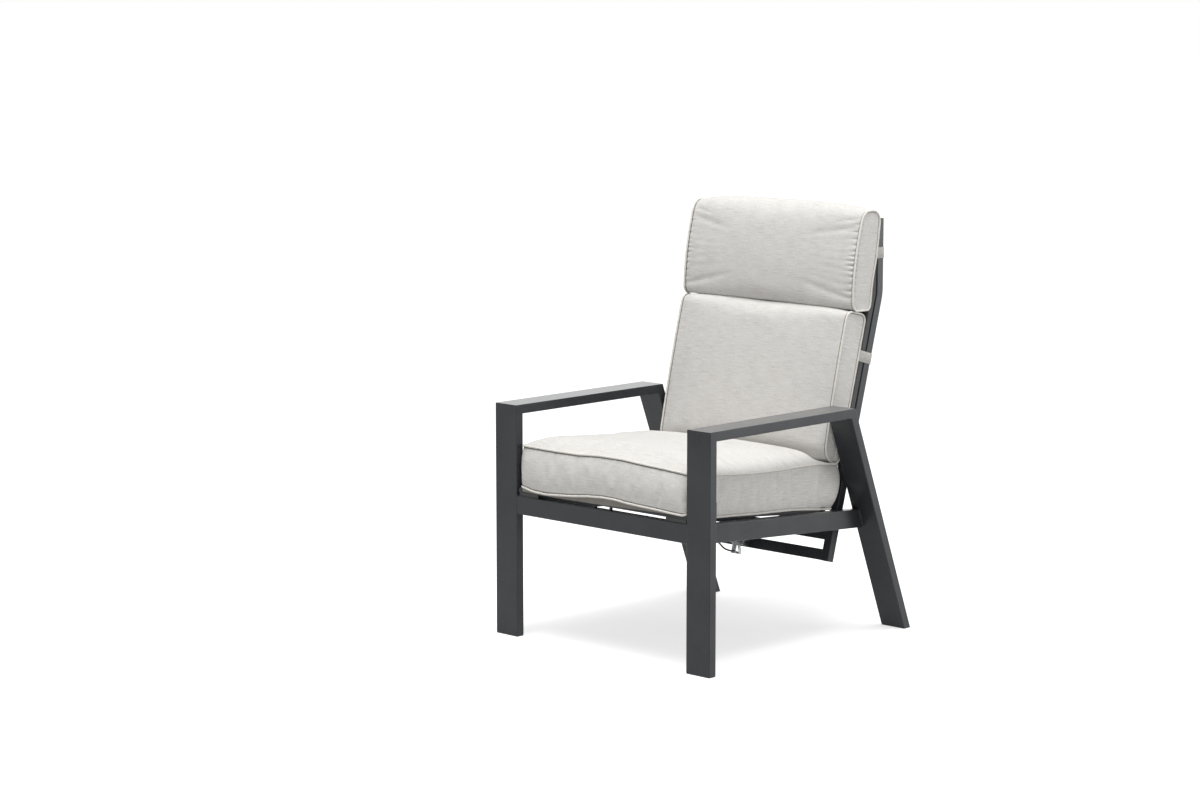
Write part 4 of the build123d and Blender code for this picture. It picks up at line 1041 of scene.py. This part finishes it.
# Head cushion, in depth and height
def head_seam(side):
    line = smooth_line(HEAD_SEAM, 8, closed=True)
    starts = [np.argmin(norm(line - np.array(corner), axis=1)) for corner in HEAD_CORNERS]
    line = np.roll(line, -starts[0], axis=0)
    starts = [(start - starts[0]) % len(line) for start in starts] + [len(line)]
    line = np.vstack([line, line[:1]])
    order = [line[a : b + 1] for a, b in zip(starts, starts[1:])]
    outline = seam_of(order, HEAD_COUNTS)
    if side > 0:
        outline[:, 1] -= HEAD_LEFT_DROP * np.clip((960 - outline[:, 1]) / 80, 0, 1)
    front = np.interp(outline[:, 1], (880, 1130), (666, 706))
    share = np.clip((outline[:, 0] - front) / 66, 0, 1)
    x = side * (HEAD_FRONT_REACH + (HEAD_BACK_REACH - HEAD_FRONT_REACH) * share)
    return np.array([at(a, b, c) for a, b, c in zip(x, outline[:, 0], outline[:, 1])])


def head_cushion():
    seams = [head_seam(side) for side in (-1, 1)]
    wide, deep = HEAD_COUNTS[:2]
    number = np.arange(len(seams[0]))
    stretches = [number < wide, number < wide + deep, number < 2 * wide + deep]
    crown = evened(np.select(stretches, HEAD_CROWNS, HEAD_LOW_CROWN) * MM, 3)
    cushion = Cushion(*seams, HEAD_COUNTS, HEAD_ROWS, crown, 5.0)
    for which in (0, 1):
        cushion.raise_panel(which, HEAD_PANEL_CROWN * MM, 2.2)
    piece = cushion.build("head_cushion_cover", ((0, 1, 0), (0, 0, 1)))
    flat = np.arange(wide + deep + 2, 2 * wide + deep - 2)
    return cushion, piece, cushion.seam_points(cushion.strip_index[:, flat].ravel())


def head_rest(points):
    """The cushion lies against the upright part of the sling and above the back cushion."""
    across = points[:, 0] / 0.3
    floor = HEAD_FLOOR + 2.5 * (1 - across**2) - (HEAD_LEFT_DROP + 1.0) * np.clip(across, 0, 1)
    points[:, 2] = np.maximum(points[:, 2], floor * MM)
    rear = at(0, UPRIGHT_DEPTH - SLING_FRONT - COVER_GAP, 0)[1]
    inside = np.abs(points[:, 0]) < COVER_HALF_WIDTH * MM
    points[:, 1] = np.where(inside, np.minimum(points[:, 1], rear), points[:, 1])
    return push_off_sling(points)


def head_gathers(points, gap):
    """Pleats drawn into the end seams over the front of the head cushion."""
    height = points[:, 2] / MM
    front = points[:, 1] < at(0, GATHER_BEFORE, 0)[1]
    ends = np.abs(points[:, 0]) > GATHER_BEYOND * MM
    stretch = np.clip((height - GATHER_LOW) / 30, 0, 1) * np.clip((GATHER_HIGH - height) / 20, 0, 1)
    wave = height + 5 * np.sin(height / 23)
    fold = np.abs(np.sin(pi * wave / 15.5)) ** 0.7
    size = 0.75 + 0.25 * np.sin(height / 31 + 1.0)
    reach = (16 + 6 * np.sin(height / 13)) * MM
    fade = np.exp(-((gap / reach) ** 1.8)) * np.clip(gap / (2 * MM), 0, 1)
    on_strip = np.abs(points[:, 0]) < (HEAD_FRONT_REACH + 1.5) * MM
    depth = np.where(points[:, 0] > 0, GATHER_LEFT, GATHER_RIGHT) * MM
    return -depth * (1 - fold) * size * fade * stretch * front * ends * on_strip


def add_cushions():
    gathered = (0.8, 12, head_gathers)
    covers = [
        (*seat_cushion(), SEAT_CLOTH, seat_rest, (0.9, 11), "seat_cushion", "frame"),
        (*back_cushion(), BACK_CLOTH, push_off_sling, (0.9, 12), "back_cushion", "backrest"),
        (*head_cushion(), HEAD_CLOTH, head_rest, gathered, "head_cushion", "backrest"),
    ]
    fill_with_foam([cover[1:5] for cover in covers])
    for cushion, piece, held, cloth, rest, folds, node, body in covers:
        set_points(piece, rest(points_of(piece)))
        refine(piece)
        pucker(piece, *folds)
        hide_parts(node)
        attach(piece, body)
        for which, end in enumerate(("a", "b")):
            add_piping(f"{node}_piping_{end}", cushion, which, rest, body)


# Slings
def add_sling(name, rows, body, rests_on, *nodes):
    """A single sheet through rows of points, laid out in metres of cloth."""
    rows = np.asarray(rows, float)
    across, along = run_along(rows[0]), run_down(rows)
    faces = quads(np.arange(rows.size // 3).reshape(rows.shape[:2])).tolist()
    sling = new_piece(name, rows.reshape(-1, 3), faces, FINISHES["sling_mesh"], quads(spread(across, along)))
    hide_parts(*nodes)
    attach(sling, body)


def back_path(forward):
    """A line up the back at one distance forward of the tubes, round their bend."""
    bend_start = BEND_LENGTH - BEND_RADIUS * tan(BACK_LEAN / 2)
    low = [on_back(0, length, forward) for length in np.linspace(BACK_SLING_START, bend_start, 30)]
    centre = on_back(0, bend_start, BEND_RADIUS)
    arc = []
    for turn in np.linspace(0, 1, 9)[1:]:
        angle = BACK_LEAN * (1 - turn)
        reach = (BEND_RADIUS - forward) * MM
        arc.append(centre + np.array([0, cos(angle), -sin(angle)]) * reach)
    top = arc[-1].copy()
    top[2] = BACK_SLING_END * MM
    return resample(np.vstack([low, arc, top]), 60)


def add_back_sling():
    half = BACK_SLING_HALF * MM
    rows = []
    for near, far in zip(back_path(SLING_FRONT), back_path(SLING_FRONT - BACK_SLING_TURN)):
        flat = [near + np.array([x, 0, 0]) for x in np.linspace(-half, half, 41)]
        turns = [(far - near) * share for share in (1 / 3, 2 / 3, 1)]
        rows.append([flat[0] + turn for turn in turns[::-1]] + flat + [flat[-1] + turn for turn in turns])
    rails = ["keder_rail_left", "keder_rail_right"]
    add_sling("back_sling_mesh", rows, "backrest", rails, "back_sling", "back_sling_hems")


def add_seat_sling():
    side = SEAT_SLING_HALF
    rows = []
    for depth in np.linspace(SEAT_SLING_FRONT, SEAT_SLING_REAR, 50):
        base = deck_height(depth)
        half = [(side, base - 4), (side, base - 9)]
        half += [(side - inward, base - SEAT_SLING_BELOW) for inward in (0.8, 10, 20)]
        flat = [(x, base + SEAT_SLING_ABOVE) for x in np.linspace(-side, side, 41)]
        line = [(-x, z) for x, z in half[::-1]] + flat + half
        rows.append([at(x, depth, z) for x, z in line])
    bars = ["deck_side_bar_left", "deck_side_bar_right"]
    add_sling("seat_sling_mesh", rows, "frame", bars, "seat_sling")


# Straps round the back frame
def add_strap(name, node, place):
    """place(x, forward, up) gives a point beside the frame, up from the strap's middle."""
    reach, outer, rear = 44.0, 299.1, -13.6
    corner = 4.0
    right = [
        (outer - 3, reach), (outer, reach - 9), (outer, 10), (outer, rear + corner),
        (outer - corner * 0.3, rear + corner * 0.3), (outer - corner, rear), (outer - 25, rear - 0.4),
    ]
    middle = [(x, rear - 1.5 - 1.2 * cos(x / 60)) for x in (200, 120, 40, -40, -120, -200)]
    left = [(-x, forward) for x, forward in right[::-1]]
    line = smooth_line([place(x, forward, 0) for x, forward in right + middle + left], 4)
    half, thick, edge = STRAP_WIDTH / 2 * MM, STRAP_HALF_THICKNESS * MM, 0.4 * MM
    profile = [
        (-thick, -half + edge), (-thick, 0), (-thick, half - edge), (0, half),
        (thick, half - edge), (thick, 0), (thick, -half + edge), (0, -half),
    ]
    up = place(0, 0, 1) - place(0, 0, 0)
    strap = swept(name, line, profile, FINISHES["strap_webbing"], width=up)
    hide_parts(node)
    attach(strap, "backrest")


def add_straps():
    add_strap("back_strap_webbing", "back_strap", lambda x, n, u: on_back(x, BACK_STRAP_LENGTH + u, n))
    add_strap(
        "head_strap_webbing",
        "head_strap",
        lambda x, n, u: at(x, UPRIGHT_DEPTH - n, HEAD_STRAP_HEIGHT + u),
    )


# Release cable
def cable(name, route):
    """A cable jacket along a smooth line held near its route's points."""
    curve = bpy.data.curves.new(name, "CURVE")
    curve.dimensions = "3D"
    curve.resolution_u = 12
    spline = curve.splines.new("NURBS")
    spline.points.add(len(route) - 1)
    for point, place in zip(spline.points, route):
        point.co = (*place, 1)
    spline.order_u = 3
    spline.use_endpoint_u = True
    holder = bpy.data.objects.new(name, curve)
    mesh = bpy.data.meshes.new_from_object(holder)
    line = np.array([v.co for v in mesh.vertices])
    bpy.data.meshes.remove(mesh)
    bpy.data.objects.remove(holder)
    bpy.data.curves.remove(curve)
    piece = swept(name, line, round_profile(CABLE_RADIUS * MM, 14), FINISHES["cable_jacket"])
    return piece


def add_cables():
    front = cable("release_cable_jacket", [at(*point) for point in FRONT_CABLE])
    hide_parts("release_cable")
    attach(front, "frame")
    route = [at(*CABLE_JOINT)] + [on_spring(0, along, above) for along, above in REAR_CABLE]
    rear = cable("release_cable_rear_jacket", route)
    start, end = (tuple(on_spring(0, *place)) for place in (CABLE_BEND_START, CABLE_BEND_END))
    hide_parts("release_cable_rear")
    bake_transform(rear)
    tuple(start)
    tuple(end)


# Weld beads
def bead(name, start, end, body, radius=BEAD_RADIUS):
    """A ground weld: a low rippled bead along a joint."""
    count = max(8, int(norm(end - start) / (1.1 * MM)))
    line = start + (end - start) * np.linspace(0, 1, count)[:, None]
    ripple = 0.86 + 0.10 * np.sin(np.arange(count) * 2 * pi / 3.3) + 0.05 * random.standard_normal(count)
    ripple[:2] *= (0.35, 0.8)
    ripple[-2:] *= (0.8, 0.35)
    profile = round_profile(radius * MM, 8)
    piece = swept(name, line, profile, FINISHES["frame_powder_coat"], scale=ripple)
    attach(piece, body)


def add_welds():
    for side, sign in (("left", 1), ("right", -1)):
        for label, *ends in FRAME_BEADS:
            start, end = (at(x * sign, depth, height) for x, depth, height in ends)
            bead(f"weld_{label}_{side}", start, end, "frame")
        for label, length in CROSSBARS:
            for edge, forward in (("front", 7.5), ("rear", -7.5)):
                start, end = (
                    on_back(CROSSBAR_BEAD_X * sign, -length + off, forward) for off in (-14, 14)
                )
                name = f"weld_{label}_crossbar_{edge}_{side}"
                bead(name, start, end, "backrest", CROSSBAR_BEAD_RADIUS)


# Floor and lights
def add_stage():
    """A pale floor that keeps the shadow near the chair and turns white further off."""
    corners = [(-30, -30, 0), (30, -30, 0), (30, 30, 0), (-30, 30, 0)]
    shader = Shader(
        "floor",
        Roughness=0.9,
        Specular_IOR_Level=0.0,
        Base_Color=(0.6, 0.6, 0.6, 1),
        Emission_Color=(1, 1, 1, 1),
    )
    place = shader.place(uv=False)
    away = shader.node("ShaderNodeVectorMath", {0: place}, operation="LENGTH").outputs["Value"]
    near, far = shader.ramp(away, 0.8, 2.4, 0.42, 0.65), shader.ramp(away, 4, 14, 0.65, 0.85)
    glow = shader.math("MAXIMUM", near, far)
    shader.finish(Emission_Strength=shader.math("MULTIPLY", shader.background_rays(), glow))
    floor = new_piece("floor", corners, [(0, 1, 2, 3)], FINISHES["floor"])


def add_world():
    world = bpy.data.worlds.new("studio")
    scene.world = world
    world.use_nodes = True
    world.node_tree.nodes.clear()
    nodes = Nodes(world.node_tree)
    light, seen = (
        nodes.node("ShaderNodeBackground", {"Color": (1, 1, 1, 1), "Strength": strength}).outputs[0]
        for strength in (WORLD_LIGHT, 1.0)
    )
    mixed = nodes.node("ShaderNodeMixShader", {0: nodes.background_rays(), 1: light, 2: seen})
    nodes.node("ShaderNodeOutputWorld", {"Surface": mixed.outputs[0]})


def add_lamp(name, place, aim, size, power):
    lamp = bpy.data.lights.new(name, "AREA")
    lamp.shape = "SQUARE"
    lamp.size = size
    lamp.energy = power
    holder = bpy.data.objects.new(name, lamp)
    direction = Vector(aim) - Vector(place)
    holder.location = place
    holder.visible_camera = False
    holder.rotation_mode = "QUATERNION"
    holder.rotation_quaternion = direction.to_track_quat("-Z", "Y")
    scene.collection.objects.link(holder)


def add_lights():
    add_world()
    for lamp in LAMPS:
        add_lamp(*lamp)


scene.view_settings.view_transform = "Standard"
add_camera()
dress_nodes()
add_cushions()
add_back_sling()
add_seat_sling()
add_straps()
add_cables()
add_welds()
add_stage()
add_lights()
